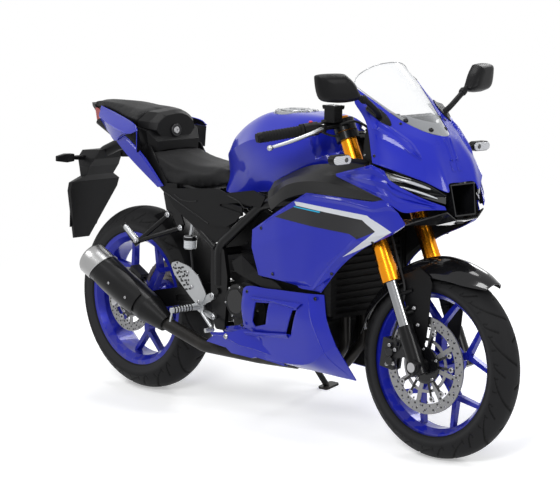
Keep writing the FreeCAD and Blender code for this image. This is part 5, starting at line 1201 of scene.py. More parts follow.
def build_fuel_tank():
    body = ring_loft("tank_shell", "paint", TANK, 6, 6, breaks=(2, 4, 5, 7))
    tank = body.made("chassis", sharp=24, slot="paint_blue", stands_for=("fuel_tank",))
    cap_room = Piece("cap_room", "paint").rod((CAP_X, 0, 993), (CAP_X, 0, 1050), 74, 48,
                                              edge=0.1).made("chassis")
    cut(tank, [cap_room, *steering_rooms()])
    cover = Piece("tank_side_covers", "paint", "gloss black")
    outline = [(318, 960), (262, 984), (190, 998), (120, 1003), (54, 985), (10, 957), (-9, 934), (8, 900),
               (56, 868),
               (120, 850), (190, 870), (262, 890), (312, 908)]
    ring = [on_tank(x, z, 3.5) for x, z in outline]
    root = [on_tank(x, z, -3.0) for x, z in outline]
    middle = (180, 930)
    inner, core = ([on_tank(middle[0] + (x - middle[0]) * wide, middle[1] + (z - middle[1]) * high, 5.0)
                    for x, z in outline] for wide, high in ((0.93, 0.9), (0.5, 0.5)))
    cover.grid([root, ring, inner, core], closed=True, caps=True)
    cover.tube([on_tank(x, z, 0.6) for x, z in outline[1:-1]], 1.9, 6, 1, 4)
    # Gloss black strips between the cover's fins: painted shade of the gaps between them
    for k in range(6):
        x = 196 + 16 * k
        gap_shade = [on_tank(x, 916, 5), on_tank(x + 5, 917, 5), on_tank(x + 16, 894, 5), on_tank(x + 10, 893, 5)]
        cover.slab(gap_shade, (0, -0.8, 0), 1)
    cover.grid([[on_tank(96, 866, 4), on_tank(98, 862, 9), on_tank(104, 856, 4)],
                [on_tank(180, 890, 4), on_tank(184, 884, 9), on_tank(190, 874, 4)],
                [on_tank(272, 908, 4), on_tank(290, 901, 9), on_tank(296, 896, 4)]], closed=True, caps=True)
    covers = cover.mirrored().made("chassis", sharp=28, bevel=1.2, slot="paint_blue")
    cut(covers, steering_rooms(), True)
    cap = Piece("cap_trim", "bolt steel")
    for a in turns(7):
        cap.bolt((CAP_X + 64 * math.cos(a), 64 * math.sin(a), 1011.8), (0, 0, 1), 4, 2.5)
    cap.made("chassis")
    lid = Piece("cap_lid_top", "alloy", "dark lens")
    lid.lathe((CAP_X, 0, 1013.6), (CAP_X, 0, 1020),
              [(0, 47), (1.6, 46.5), (2.4, 44), (1.4, 40), (1.8, 20), (2.8, 18), (2.8, 6)], 48)
    lid.slab([(20, -9, 1015), (74, -9, 1015), (74, 9, 1015), (20, 9, 1015)], (0, 0, 3.4))
    lid.rod((36, 0, 1017.5), (36, 0, 1019.2), 6, 20, 1)
    lid.made("cap_lid", bevel=0.8)


def on_tank(x, z, out):
    """A point on the right side of the tank, at that height, moved out by some millimetres."""
    cuts = sorted(TANK, key=lambda ring: ring[0][0])
    x = min(max(x, cuts[0][0][0]), cuts[-1][0][0])
    for first, second in zip(cuts, cuts[1:]):
        if first[0][0] <= x <= second[0][0]:
            break
    share = (x - first[0][0]) / (second[0][0] - first[0][0])
    half = [Vector(a).lerp(Vector(b), share) for a, b in zip(first, second)][:5]
    line = refined(half, 6, (2, 4))
    for a, b in zip(line, line[1:]):
        if b.z <= z <= a.z:
            p = a.lerp(b, (a.z - z) / max(a.z - b.z, 1e-6))
            break
    else:
        p = line[0] if z > line[0].z else line[-1]
    return Vector((x, p.y - out, z))


def seat_ring(x, half_top, top, half_edge, edge, half_low, low):
    """A closed section of a seat: half width and height of its top, its edge and its foot."""
    return [(x, 0, top), (x, -half_top, top - 5), (x, -(half_top + half_edge) / 2 - 5, (top + edge) / 2 + 4),
            (x, -half_edge, edge), (x, -half_low, low), (x, 0, low), (x, half_low, low), (x, half_edge, edge),
            (x, (half_top + half_edge) / 2 + 5, (top + edge) / 2 + 4), (x, half_top, top - 5)]


RIDER_SEAT = [
    seat_ring(-187, 30, 797, 56, 786, 76, 757), seat_ring(-222, 54, 808, 82, 795, 96, 750),
    seat_ring(-266, 70, 806, 104, 782, 106, 740), seat_ring(-350, 82, 805, 115, 781, 110, 728),
    seat_ring(-430, 82, 815, 116, 786, 110, 722), seat_ring(-500, 82, 829, 111, 810, 102, 740),
    seat_ring(-559, 84, 839, 110, 830, 110, 772)]
PILLION_SEAT = [
    seat_ring(-616, 76, 965, 114, 934, 104, 909), seat_ring(-700, 64, 970, 96, 942, 86, 915),
    seat_ring(-790, 50, 977, 74, 955, 64, 931), seat_ring(-880, 34, 976, 50, 962, 42, 943),
    seat_ring(-950, 20, 969, 30, 961, 24, 951)]


CLOTH_FRAMES = 14


def puff(obj, swell):
    """Fills a pad as foam fills its cover, with no point moved further than the swell."""
    data = obj.data
    remesh = obj.modifiers.new("fine", "REMESH")
    remesh.mode, remesh.voxel_size = "VOXEL", 0.006
    bpy.context.view_layer.update()
    fine = evaluated_mesh(obj)
    obj.modifiers.clear()
    fine.materials.clear()
    for finish in data.materials:
        fine.materials.append(finish)
    obj.data = fine
    start = np.empty(len(fine.vertices) * 3, np.float32)
    fine.vertices.foreach_get("co", start)
    cloth = obj.modifiers.new("stuffing", "CLOTH")
    cloth.settings.use_pressure = True
    cloth.settings.uniform_pressure_force = 4.0
    cloth.settings.effector_weights.gravity = 0.0
    cloth.settings.quality = 5
    cloth.settings.tension_stiffness = cloth.settings.compression_stiffness = 30
    cloth.settings.bending_stiffness = 6
    for number in range(1, CLOTH_FRAMES + 1):
        bpy.context.scene.frame_set(number)
    bpy.context.view_layer.update()
    shaped = evaluated_mesh(obj)
    moved = np.empty(len(start), np.float32)
    shaped.vertices.foreach_get("co", moved)
    step = (moved - start).reshape(-1, 3)
    far = np.linalg.norm(step, axis=1, keepdims=True)
    step *= np.minimum(1.0, swell * MM / np.maximum(far, 1e-9))
    fine.vertices.foreach_set("co", (start.reshape(-1, 3) + step).ravel())
    obj.modifiers.clear()
    bpy.data.meshes.remove(shaped)
    bpy.context.scene.frame_set(1)
    fine.polygons.foreach_set("use_smooth", [True] * len(fine.polygons))
    fine.update()
    smooth = obj.modifiers.new("even", "SMOOTH")
    smooth.factor, smooth.iterations = 0.5, 6
    bpy.context.view_layer.update()
    even = evaluated_mesh(obj)
    obj.modifiers.clear()
    obj.data = even
    even.polygons.foreach_set("use_smooth", [True] * len(even.polygons))
    bpy.data.meshes.remove(data)


def distance_to(point, start, end):
    """The distance from a point to the line between two others."""
    way = end - start
    share = float(np.dot(point - start, way)) / max(1e-9, float(np.dot(way, way)))
    return float(np.linalg.norm(point - (start + way * min(1.0, max(0.0, share)))))


def sewn(obj, lines, width, depth):
    """Presses sewn seams into a pad; each line is given on the upright machine by its points."""
    back = PARKED.inverted()
    mesh = obj.data
    spots = [back @ v.co for v in mesh.vertices]
    normals = [(back.to_3x3() @ v.normal).normalized() for v in mesh.vertices]
    for line in lines:
        path = [np.array(p) for p in refined(line, 12)]
        low, high = min(q[0] for q in path) - 12, max(q[0] for q in path) + 12
        for index, (spot, normal) in enumerate(zip(spots, normals)):
            if not low <= spot[0] <= high:
                continue
            near = min(distance_to(np.array(spot), a, b) for a, b in zip(path, path[1:]))
            if near < width:
                sink = depth * (1 - (near / width) ** 2) ** 2
                spots[index] = spot - normal * sink
    flat = np.array([tuple(PARKED @ s) for s in spots], np.float32)
    mesh.vertices.foreach_set("co", flat.ravel())
    mesh.update()


def build_seats():
    """Stuffed seats with their sewn edges, on the solids' places."""
    rider = ring_loft("rider_seat_pad", "seat", RIDER_SEAT, 4, 3, breaks=(4, 6))
    rider = rider.made("chassis", slot="seat_vinyl", stands_for=("rider_seat",))
    puff(rider, 6)
    sewn(rider, [[(-196, -64 * s, 788), (-232, -92 * s, 790), (-290, -110 * s, 786), (-380, -116 * s, 786),
                  (-460, -113 * s, 800), (-552, -108 * s, 832)] for s in (1, -1)]
         + [[(-548, -86, 842), (-536, 0, 846), (-548, 86, 842)]], 5.0, 2.4)
    pillion = ring_loft("pillion_seat_pad", "seat", PILLION_SEAT, 4, 3, breaks=(4, 6))
    pillion = pillion.made("chassis", slot="seat_vinyl", stands_for=("pillion_seat",))
    puff(pillion, 5)
    sewn(pillion, [[(-622, -108 * s, 944), (-700, -93 * s, 950), (-790, -72 * s, 962), (-880, -49 * s, 967),
                    (-944, -28 * s, 965)] for s in (1, -1)], 4.0, 2.0)
    for pad in (rider, pillion):
        smooth = pad.modifiers.new("Smooth form", "SUBSURF")
        smooth.levels = smooth.render_levels = 1


STRIP = [
    [(-461, -128, 729), (-495, -124, 721)],
    [(-557, -136, 824), (-632, -126, 802)],
    [(-668, -132, 887), (-728, -116, 859)]]
TAIL = [
    [(-566, -156, 906), (-603, -152, 893), (-663, -137, 884)],
    [(-601, -140, 927), (-660, -140, 893), (-724, -121, 857)],
    [(-745, -92, 946), (-770, -108, 905), (-800, -86, 876)],
    [(-888, -48, 960), (-884, -62, 925), (-860, -60, 890)]]


def build_tail_cowl():
    middle = Vector((-700, 0, 880))
    skin("tail_cowl_sides", "paint", TAIL, 6, 6, breaks=(1,), slot="paint_blue", stands_for=("tail_cowl",),
         centre=middle)
    skin("tail_cowl_strips", "paint", STRIP, 6, 3, slot="paint_blue", centre=middle)
    skin("tail_cowl_fronts", "paint", [[(-569, -155, 902), (-600, -126, 908)],
                                       [(-574, -152, 832), (-580, -124, 836)]],
         3, 3, slot="paint_blue", centre=middle)
    filler = Piece("tail_inner_sides", "satin black")
    filler.slab([(-452, -118, 742), (-470, -120, 724), (-560, -118, 796), (-620, -112, 838),
                 (-600, -108, 868),
                 (-545, -112, 850), (-500, -112, 790)], (0, 5, 0))
    filler.mirrored().made("chassis", sharp=30, bevel=1.0, slot="plastic_black")
    trim = Piece("seat_lock", "bolt steel", "black bolt")
    trim.lathe((-557, 0, 900), (-543, 0, 900), [(0, 21), (13, 21), (14.6, 19.5), (14.4, 14), (12, 13)], 32, 1)
    trim.lathe((-556, 0, 900), (-541, 0, 900), [(0, 12), (13.6, 12), (15.2, 10), (15.4, 4.4), (13, 4)], 32)
    trim.made("chassis", sharp=30)


# Wheels


RIM_RADIUS = 217.0
TREAD_STEPS, TYRE_STEPS = 64, 480
WALL, BEAD = 2.0, 3.0


def wheel_mesh(name, centre, radius, half_width, drop, rim_width, body, node, steered):
    """A tyre turned about its axle, with the tread's grooves pressed in and rings on its side wall."""
    tread = []
    for k in range(TREAD_STEPS + 1):
        t = -1 + 2 * k / TREAD_STEPS
        tread.append((half_width * math.sin(t * math.pi / 2 * 0.98),
                      radius - drop * abs(math.sin(t * math.pi / 2)) ** 2.4, t))
    shoulder, half_rim, ring = tread[-1][1], rim_width / 2, RIM_RADIUS + 16
    wall = [(half_width, shoulder - 8, WALL), (half_width - 1, shoulder - 16, WALL),
            (half_width - 3.5, shoulder - 25, WALL), (half_width - 8, shoulder - 33, WALL),
            (half_rim + 3, ring, WALL),
            (half_rim + 1, RIM_RADIUS + 12.5, WALL), (half_rim - 1, RIM_RADIUS + 12, WALL),
            (half_rim - 12, RIM_RADIUS + 6, BEAD)]
    profile = [(-y, r, t) for y, r, t in reversed(wall)] + tread + wall
    groove_depth = bpy.context.scene.motorcycle_sizes.groove_depth / MM
    points, depths = [], []
    for a in turns(TYRE_STEPS):
        for y, r, t in profile:
            groove = tread_grooves(a, t) if abs(t) <= 1 else 0.0
            if t == WALL and abs(r - ring) < 0.1:
                groove = 0.35
            elif t == WALL:
                groove = -0.8 if ring < r < shoulder - 8 else -0.2
            low = r - groove_depth * max(groove, 0.0)
            points.append(centre + Vector((math.cos(a) * low, y, math.sin(a) * low)))
            depths.append(groove)
    wide = len(profile)
    faces = []
    for k in range(TYRE_STEPS):
        m = (k + 1) % TYRE_STEPS
        for j in range(wide):
            n = (j + 1) % wide
            faces.append((k * wide + j, k * wide + n, m * wide + n, m * wide + j))
    mesh = bpy.data.meshes.new(name)
    mesh.from_pydata([tuple(p) for p in points], [], faces)
    mesh.materials.append(finish_of("tyre"))
    # The groove share, which the tyre's finish also uses for painted shade in the grooves
    note = mesh.attributes.new("groove", "FLOAT", "POINT")
    note.data.foreach_set("value", depths)
    mesh.transform(STEERED if steered else PARKED)
    mesh.polygons.foreach_set("use_smooth", [True] * len(mesh.polygons))
    b = bmesh.new()
    b.from_mesh(mesh)
    bmesh.ops.recalc_face_normals(b, faces=b.faces)
    b.to_mesh(mesh)
    b.free()
    obj = bpy.data.objects.new(name, mesh)
    bpy.context.scene.collection.objects.link(obj)
    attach(obj, body)
    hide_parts(node)


def line_share(distance, width):
    """1 in the middle of a groove and 0 past its edge."""
    return max(0.0, min(1.0, (width - abs(distance)) / (width * 0.45)))


def off_line(phase):
    """How far a phase is from the nearest whole turn."""
    return min(phase % 1.0, 1 - phase % 1.0)


def tread_grooves(angle, across):
    """Long S shaped grooves that lean back on each half, with short sipes at the shoulder."""
    pitch = 2 * math.pi / 13
    length = pitch * FRONT_AXLE.z
    share = 0.0
    for side in (1, -1):
        t = across * side
        phase = (angle + (0.25 * pitch if side > 0 else -0.25 * pitch)) / pitch
        if -0.05 < t < 0.86:
            share = max(share, line_share(off_line(phase - (0.9 * t - 0.16 * math.sin(3.2 * t))) * length,
                                          4.6))
        if 0.42 < t < 0.97:
            share = max(share, line_share(off_line(phase - 0.5 - 0.55 * t) * length, 3.6))
        if 0.66 < t < 0.98:
            share = max(share, 0.8 * line_share(off_line(phase * 3 + 0.2 - 0.4 * t) * length / 3, 2.6))
    return share


def build_tyres():
    wheel_mesh("front_tyre_tread", FRONT_AXLE, 292.6, 55.6, 40, 82, "front_wheel", "tyre_front", True)
    wheel_mesh("rear_tyre_tread", REAR_AXLE, 313.6, 70.6, 46, 114, "rear_wheel", "tyre_rear", False)


def build_front_mudguard():
    # Angle about the axle, radius, half width and drop at the edge
    cuts = [(168, 306, 60, 26), (150, 309, 68, 42), (120, 314, 72, 56), (95, 324, 72, 62), (78, 330, 68, 60),
            (63, 336, 58, 50), (52, 340, 34, 26)]
    columns = []
    for angle, radius, half, drop in cuts:
        a = math.radians(angle)
        out = Vector((math.cos(a), 0, math.sin(a)))
        columns.append([tuple(FRONT_AXLE + out * (radius - drop * abs(t) ** 2.6) + Vector((0, half * t, 0)))
                        for t in (-1, -0.86, -0.55, 0, 0.55, 0.86, 1)])
    rows = facing_out(panel_rows(columns, 8, 6), FRONT_AXLE)
    guard = Piece("front_mudguard_shell", "gloss black").grid(rows)
    guard.made("steering", steered=True, shell=3.0, bevel=1.2, sharp=30, outward=False, slot="gloss_black",
               stands_for=("front_mudguard",))
    stays = Piece("mudguard_stays", "satin black", "bolt steel")
    upper = [(590, 548), (652, 588), (700, 560), (680, 500), (660, 464), (634, 462), (622, 508)]
    blade = [(600, 560), (640, 575), (672, 583), (700, 566), (714, 545), (708, 500), (706, 460), (700, 400),
             (697, 372),
             (690, 352), (684, 345), (672, 345), (662, 358), (646, 384), (628, 424), (616, 450), (606, 486),
             (604, 510)]
    stays.slab([(x, -68, z) for x, z in upper], (0, -4, 0))
    stays.slab([(x, -78, z) for x, z in blade], (0, -3, 0))
    for x, z in ((649, 463), (666, 414)):
        stays.rod((x, -79, z), (x, -84, z), 8, 24)
        stays.bolt((x, -84, z), (0, -1, 0), 6.5, 4, 1)
    for along, forward in ((470, 66), (530, 84)):
        boss = steer_point(forward, -81, along)
        stays.rod((boss.x, -68, boss.z), boss, 8)
        stays.rod(boss, steer_point(FORK_AHEAD, -98, along), 6)
    stays.mirrored().made("steering", steered=True, bevel=0.8, sharp=30, slot="gloss_black")


# Lamps, controls and small parts


def build_lamps():
    """Headlight strips, lens housings and the lamps' stalks."""
    strips = Piece("headlight_strips", "lamp silver", "clear lens", "gloss black")
    for line, radius, finish in (
            ([(640, -175, 868), (690, -146, 856), (738, -105, 836)], 5.0, 0),
            ([(668, -164, 842), (716, -128, 826), (752, -90, 808)], 3.6, 1)):
        strips.tube(line, lambda t: radius * (1 - 0.55 * abs(2 * t - 1) ** 3), 10, finish)
    strips.tube([(604, -188, 886), (668, -156, 870), (730, -112, 849), (766, -68, 815)], 2.4, 8, 2)
    strips.mirrored().made("chassis", sharp=40, slot="lamp_clear")
    front = Piece("front_signals", "satin black", "lamp silver", "dark lens")
    front.tube([(560, -190, 905), (558, -230, 912), (556, -266, 919)], lambda t: 8.5 - 1.5 * t, 14)
    for x, reach, thick, finish in ((541, 1.0, 24, 0), (562, 0.86, 7, 1)):
        outline = []
        for a in turns(24):
            centre = -282 if math.cos(a) > 0 else -323
            outline.append((x, centre + 16 * reach * math.cos(a), 921 + 15 * reach * math.sin(a)))
        front.slab(outline, (thick, 0, 0), finish)
    front.rod((566, -288, 921), (570, -288, 921), 8, 24, 2)
    front.mirrored().made("chassis", bevel=1.6, sharp=30, slot="lamp_clear")
    rear = Piece("rear_signals", "satin black", "clear lens")
    rear.tube([(-978, -52, 773), (-979, -84, 774), (-978, -112, 776)], lambda t: 9 - 1.5 * t, 14)
    rear.grid([[(-986, -106, 764), (-964, -106, 764), (-964, -106, 790), (-986, -106, 790)],
               [(-984, -140, 762), (-960, -140, 762), (-960, -140, 792), (-984, -140, 792)],
               [(-980, -177, 768), (-968, -177, 768), (-968, -177, 786), (-980, -177, 786)]], closed=True,
               caps=True)
    rear.slab([(-984, -118, 768), (-984, -168, 770), (-984, -168, 784), (-984, -118, 786)], (-5, 0, 0), 1)
    rear.mirrored().made("chassis", bevel=2.0, sharp=30, slot="plastic_black", stands_for=("indicators",))


def front_of(way):
    """The level direction across a bar that points forwards."""
    front = Vector(way).cross(Vector((0, 0, 1))).normalized()
    return front if front.x > 0 else -front


def build_mirrors():
    """Smooth mirror housings on round stalks, with their feet."""
    outline = [Vector(p) for p in (
        (512, -372, 1160), (515, -360, 1174), (536, -289, 1175), (541, -272, 1167), (547, -252, 1148),
        (551, -237, 1124), (553, -228, 1101), (545, -257, 1090), (529, -312, 1089), (516, -357, 1102))]
    middle, deep = Vector((533, -300, 1134)), Vector((0.96, -0.27, 0)) * 42
    ring = refined(outline[-1:] + outline + outline[:2], 5)[5:5 + 5 * len(outline)]
    heads = Piece("mirror_housings", "satin black", "mirror glass", "rubber")
    rows = [[middle + (p - middle) * size + deep * depth for p in ring]
            for size, depth in ((0.9, 0.07), (0.93, 0.0), (0.965, 0.0), (0.985, 0.05), (0.985, 0.3),
                                (0.95, 0.55),
                                (0.87, 0.76), (0.74, 0.91), (0.55, 0.985), (0.3, 1.0))]
    heads.grid(rows, closed=True, caps=True)
    heads.slab([middle + (p - middle) * 0.9 + deep * 0.05 for p in ring], deep * 0.03, 1)
    heads.tube([(554, -250, 1112), (566, -206, 1090), (566, -160, 1056), (556, -140, 1036)],
               lambda t: 8.6 + 1.5 * abs(2 * t - 1) ** 3, 16)
    heads.lathe((562, -222, 1100), (566, -200, 1086), [(0, 10), (3, 12.5), (12, 12.5), (18, 10.5)], 20)
    heads.slab([(505, -150, 1066), (524, -166, 1058), (558, -158, 1036), (592, -142, 1010), (584, -126, 1022),
                (545, -136, 1048)], Vector((-10, 22, -9)))
    heads.tube([(548, -140, 1034), (540, -100, 1012)], 9, 12, 2, 1)
    heads.mirrored().made("chassis", sharp=34, bevel=1.2, slot="plastic_black", stands_for=("mirrors",))


def build_cockpit():
    """Dial, switch pods, levers, cables and the fluid reservoir's lid."""
    dial = Piece("dial_face", "dial glass", "gloss black")
    dial.slab([(561, -66, 1030), (561, 66, 1030), (574, 66, 972), (574, -66, 972)], (-3, 0, -0.7))
    dial.tube([(560, -70, 1034), (560, 70, 1034)], 2.5, 8, 1, parts=1)
    dial.tube([(574, -70, 967), (574, 70, 967)], 2.5, 8, 1, parts=1)
    dial.made("chassis", bevel=1.0, slot="plastic_black")
    grips = Piece("grip_rings", "rubber", "satin black", "red switch", "bolt steel")
    root, end = Vector((366.7, -132, 996.6)), Vector((250, -352, 958))
    way = (end - root).normalized()
    long = (end - root).length
    for k in range(12):
        at = root + way * (134 + k * (long - 146) / 11)
        grips.lathe(at, at + way * 4, [(0, 16.0), (1, 17.2), (3, 17.2), (4, 16.0)], 24)
    grips.lathe(end - way * 4, end + way * 14, [(0, 15), (2, 16.5), (14, 16), (18, 12)], 24, 1)
    up, front = Vector((0, 0, 1)), front_of(way)
    perch = root + way * 62 + front * 26
    levers = Piece("lever_blades", "alloy", "bolt steel")
    levers.tube([perch, perch + way * 40 + front * 24 - up * 5, perch + way * 110 + front * 32 - up * 18,
                 perch + way * 168 + front * 22 - up * 28], lambda t: 7.5 - 2.3 * t, 14)
    levers.rod(perch - up * 13, perch + up * 13, 6, 16, 1)
    tip = perch + way * 176 + front * 19 - up * 30
    levers.lathe(tip - way * 9, tip + way * 9,
                 [(0, 2), (1.5, 5.5), (5, 8.4), (9, 9), (13, 8.4), (16.5, 5.5), (18, 2)], 16)
    levers.mirrored().made("steering", steered=True, sharp=40, slot="aluminium", stands_for=("hand_levers",))
    pod = root + way * 92
    grips.rod(pod + up * 17 - front * 6, pod + up * 25 - front * 6, 6, 20, 2)
    grips.slab([pod - front * 21 + way * -8 + up * 6, pod - front * 21 + way * 10 + up * 6,
                pod - front * 21 + way * 10 - up * 8, pod - front * 21 + way * -8 - up * 8], front * 5, 1)
    for k in (-12, 14):
        grips.bolt(pod + way * k - up * 20, -up, 3, 2, 3)
    grips.mirrored().made("steering", steered=True, sharp=40, slot="grip_rubber")
    lid = Piece("reservoir_lid", "satin black", "bolt steel")
    cup = Vector((365, -160, 1029))
    lid.slab([cup + Vector(v) for v in ((-25, -23, 20), (25, -23, 20), (25, 23, 20), (-25, 23, 20))],
             (0, 0, 8))
    for v in ((-17, -15), (17, -15), (17, 15), (-17, 15)):
        lid.bolt(cup + Vector((v[0], v[1], 28)), (0, 0, 1), 3.4, 1.8, 1)
    lid.made("steering", steered=True, bevel=1.8, sharp=30)
    lines = Piece("brake_and_throttle_lines", "hose")
    lines.tube([(384, -146, 1000), (420, -120, 1010), (446, -80, 980), (440, -66, 900), (452, -64, 820),
                (520, -66, 700), (566, -72, 600), (612, -88, 520), (600, -92, 440), (570, -84, 372),
                (556, -82, 338)],
               4.0, 10, 0, 8)
    for side in (1, -1):
        lines.tube([(330, 196 * side, 980), (372, 150 * side, 962), (408, 70 * side, 972),
                    (398, 30 * side, 960)],
                   3.4, 8)
    lines.tube([(640, -100, 470), (612, -112, 430), (620, -104, 380), (600, -92, 330)], 2.4, 8)
    lines.made("steering", steered=True, sharp=60)


def ring_bolts(piece, centre, axis, radius, count, size, height, finish, start=0.0):
    """Bolts on a circle about an axis that lies across the machine."""
    for a in turns(count, math.radians(start)):
        piece.bolt(centre + Vector((radius * math.cos(a), 0, radius * math.sin(a))), (0, axis, 0), size,
                   height, finish)


def disc_carrier(name, centre, face, outer, arms, body, steered, proud):
    """The black carrier on a disc's right face, with its buttons; proud scales how far it stands out."""
    carrier = Piece(name, "gloss black", "bolt steel")
    hub, out = 42, Vector((0, -1, 0))
    spot = Vector((centre.x, face, centre.z))
    carrier.lathe(spot - out * 1.5, spot + out * 2,
                  [(0, hub), (0, hub + 15), (3, hub + 14), (3.5, hub + 12), (3.5, hub + 2)], 48)
    for a in turns(arms, 0.21):
        way = Vector((math.cos(a), 0, math.sin(a)))
        over = Vector((-math.sin(a), 0, math.cos(a)))
        for lean in (-1, 1):
            start = spot + way * (hub + 10) + over * 10 * lean
            tip = spot + way * (outer - 4) + over * (outer * 0.2) * lean
            thick = over * 4.5
            carrier.slab([start - thick, tip - thick * 0.8, tip + thick * 0.8, start + thick],
                         out * 3 * proud)
            carrier.rod(tip - out, tip + out * 4.5 * proud, 9, 20, 1)
            carrier.rod(tip + out * 2, tip + out * 5.2 * proud, 4.5, 16, 0)
    ring_bolts(carrier, spot + out * 2, -1, hub + 8, 5, 5.5, 4 * proud, 1, 24)
    carrier.made(body, steered=steered, sharp=30, bevel=0.6, slot="disc_steel")


def build_brakes():
    """Disc carriers with their buttons, caliper bolts and pads."""
    disc_carrier("front_disc_carrier", FRONT_AXLE, -73.2, 106, 5, "front_wheel", True, 1.0)
    disc_carrier("rear_disc_carrier", REAR_AXLE, -86.5, 78, 3, "rear_wheel", False, 0.65)
    bolts = Piece("front_caliper_bolts", "bolt steel", "caliper")
    a = math.radians(172)
    out = Vector((math.cos(a), 0, math.sin(a)))
    over = Vector((-math.sin(a), 0, math.cos(a)))
    for r, t in ((128, 30), (128, -30), (104, 22), (104, -22)):
        p = FRONT_AXLE + out * r + over * t
        bolts.bolt((p.x, -96, p.z), (0, -1, 0), 7, 5, 0)
    middle = FRONT_AXLE + out * 122
    bolts.rod((middle.x, -94, middle.z + 10), (middle.x, -104, middle.z + 10), 14, 24, 1)
    bolts.rod((middle.x, -94, middle.z - 18), (middle.x, -104, middle.z - 18), 14, 24, 1)
    bolts.made("steering", steered=True, sharp=35, bevel=0.8, slot="caliper_metal")
    for name, centre, face, radii, count, body, turned in (
            ("front_disc_holes", FRONT_AXLE, -72.4, (112, 124, 137), 26, "front_wheel", True),
            ("rear_disc_holes", REAR_AXLE, -86.4, (84, 94, 104), 20, "rear_wheel", False)):
        holes = Piece(name, "black bolt")
        for ring, radius in enumerate(radii):
            for a in turns(count, 2 * math.pi * ring / 3 / count):
                spot = Vector((centre.x + radius * math.cos(a), face, centre.z + radius * math.sin(a)))
                holes.rod(spot, spot - Vector((0, 0.5, 0)), 3.3, 10)
        holes.made(body, steered=turned, sharp=30)


def build_fork_rings():
    """Bright rings on the gold tubes, dust seals and top caps."""
    rings = Piece("fork_rings", "fork gold", "rubber", "bolt steel", "gloss black")
    for s in (1, -1):
        def at(along):
            return steer_point(FORK_AHEAD, FORK_SIDE * s, along)
        for low, high, r in ((592, 596, 27.6), (604, 640, 26.8), (646, 650, 27.4)):
            rings.lathe(at(low), at(high), [(0, 26), (0.6, r), (high - low - 0.6, r), (high - low, 26)], 40)
        rings.lathe(at(574), at(582), [(0, 20), (1, 23.5), (6, 25), (8, 25)], 40, 1)
        rings.lathe(at(1096), at(1104), [(0, 25), (3, 24), (5, 20), (5, 13), (8, 12), (8, 6)], 32, 3)
        axle = at(AXLE_ALONG)
        rings.lathe(Vector((axle.x, 128 * s, axle.z)), Vector((axle.x, 138 * s, axle.z)),
                    [(0, 13), (5, 12.5), (6, 9), (4, 8), (4, 2)], 32, 2)
    rings.made("steering", steered=True, sharp=30, slot="fork_gold")


def build_exhaust_trim():
    """The silencer's bright end cap, its heat shield and their bolts."""
    start, end = Vector((-400, -164, 280)), Vector((-745, -205, 462))
    way = (end - start).normalized()
    side = way.cross(Vector((0, 0, 1))).normalized()
    up = side.cross(way)
    if side.y > 0:
        side = -side
    full = (end - start).length
    cap = Piece("silencer_end", "silver cap", "gloss black", "bolt steel")
    rows = []
    for along, radius, slant in ((-62, 54.3, 16), (-60.5, 56.2, 16), (-30, 56.2, 8), (-4, 55.4, 0),
                                 (4, 51, 0),
                                 (9, 40, 0), (8.6, 30, 0), (7, 19, 0), (-20, 17, 0)):
        rows.append([end + way * (along - slant * math.cos(b))
                     + (up * math.cos(b) - side * math.sin(b)) * radius for b in turns(48)])
    cap.grid(rows, 0, closed=True)
    cap.lathe(end - way * 30, end + way * 3, [(0, 16), (31, 16.4), (33, 17.6), (30, 19)], 32, 1)
    for a in turns(4, math.pi / 4):
        p = end + way * 3.5 + (side * math.cos(a) + up * math.sin(a)) * 44
        cap.bolt(p, way, 4.2, 2.6, 2)
    cap.made("chassis", sharp=30, slot="muffler_black")
    shield = Piece("silencer_heat_shield", "muffler black")
    rows = []
    for k in range(13):
        share = 0.3 + 0.5 * k / 12
        centre = start + way * (full * share)
        reach = 56.5 + 1.6 * math.sin(math.pi * k / 12)
        spread = math.radians(46 + 18 * math.sin(math.pi * k / 12))
        rows.append([centre + (side * math.cos(b) + up * math.sin(b)) * reach
                     for b in (math.radians(8) + spread * (j / 8 - 0.5) * 2 for j in range(9))])
    shield.grid(rows)
    shield.made("chassis", shell=2.0, bevel=0.5, sharp=40, outward=side, slot="muffler_black")
    bolts = Piece("silencer_bolts", "bolt steel")
    for share in (0.4, 0.62):
        bolts.bolt(start + way * (full * share) + (side * 0.99 + up * 0.1) * 58, side, 5, 3)
    bolts.made("chassis", sharp=30, slot="muffler_black")


def build_engine_dress():
    """Case covers with their bolts on the engine, and the frame's pivot bolts."""
    cover = Piece("engine_case_covers", "engine black", "bolt steel", "gloss black")
    # Centre, side, profile, where the bolts sit, their circle's radius, their count and their first angle
    for centre, side, profile, seat, circle_radius, count, first in (
            ((-58, -158, 399), -1, [(-12, 56), (0, 55), (3, 50), (6, 46), (6, 38), (4, 36), (5, 20), (5, 8)],
             3, 51, 6, 10),
            ((-20, -140, 330), -1, [(-14, 74), (0, 72), (6, 66), (9, 50), (10, 30), (10, 8)], 4, 68, 8, 0),
            ((20, 142, 350), 1, [(-12, 82), (0, 80), (7, 72), (11, 50), (12, 30), (12, 8)], 4, 76, 8, 0)):
        middle, out = Vector(centre), Vector((0, side, 0))
        cover.lathe(middle, middle + out, profile, 48)
        ring_bolts(cover, middle + out * seat, side, circle_radius, count, 4, 3, 1, first)
    cover.lathe((-58, -161, 399), (-58, -166, 399), [(0, 39), (5, 38.5), (5, 35)], 48, 2)
    cover.made("chassis", sharp=32, bevel=0.6, slot="engine_black")
    bits = Piece("frame_bolts", "bolt steel", "alloy")
    for x, z in ((-181, 401), (-176, 332)):
        for side in (-1, 1):
            bits.rod((x, 153 * side, z), (x, 160 * side, z), 9.5, 24, 1)
            bits.bolt((x, 160 * side, z), (0, side, 0), 6.5, 4, 0)
    bits.made("chassis", sharp=30)


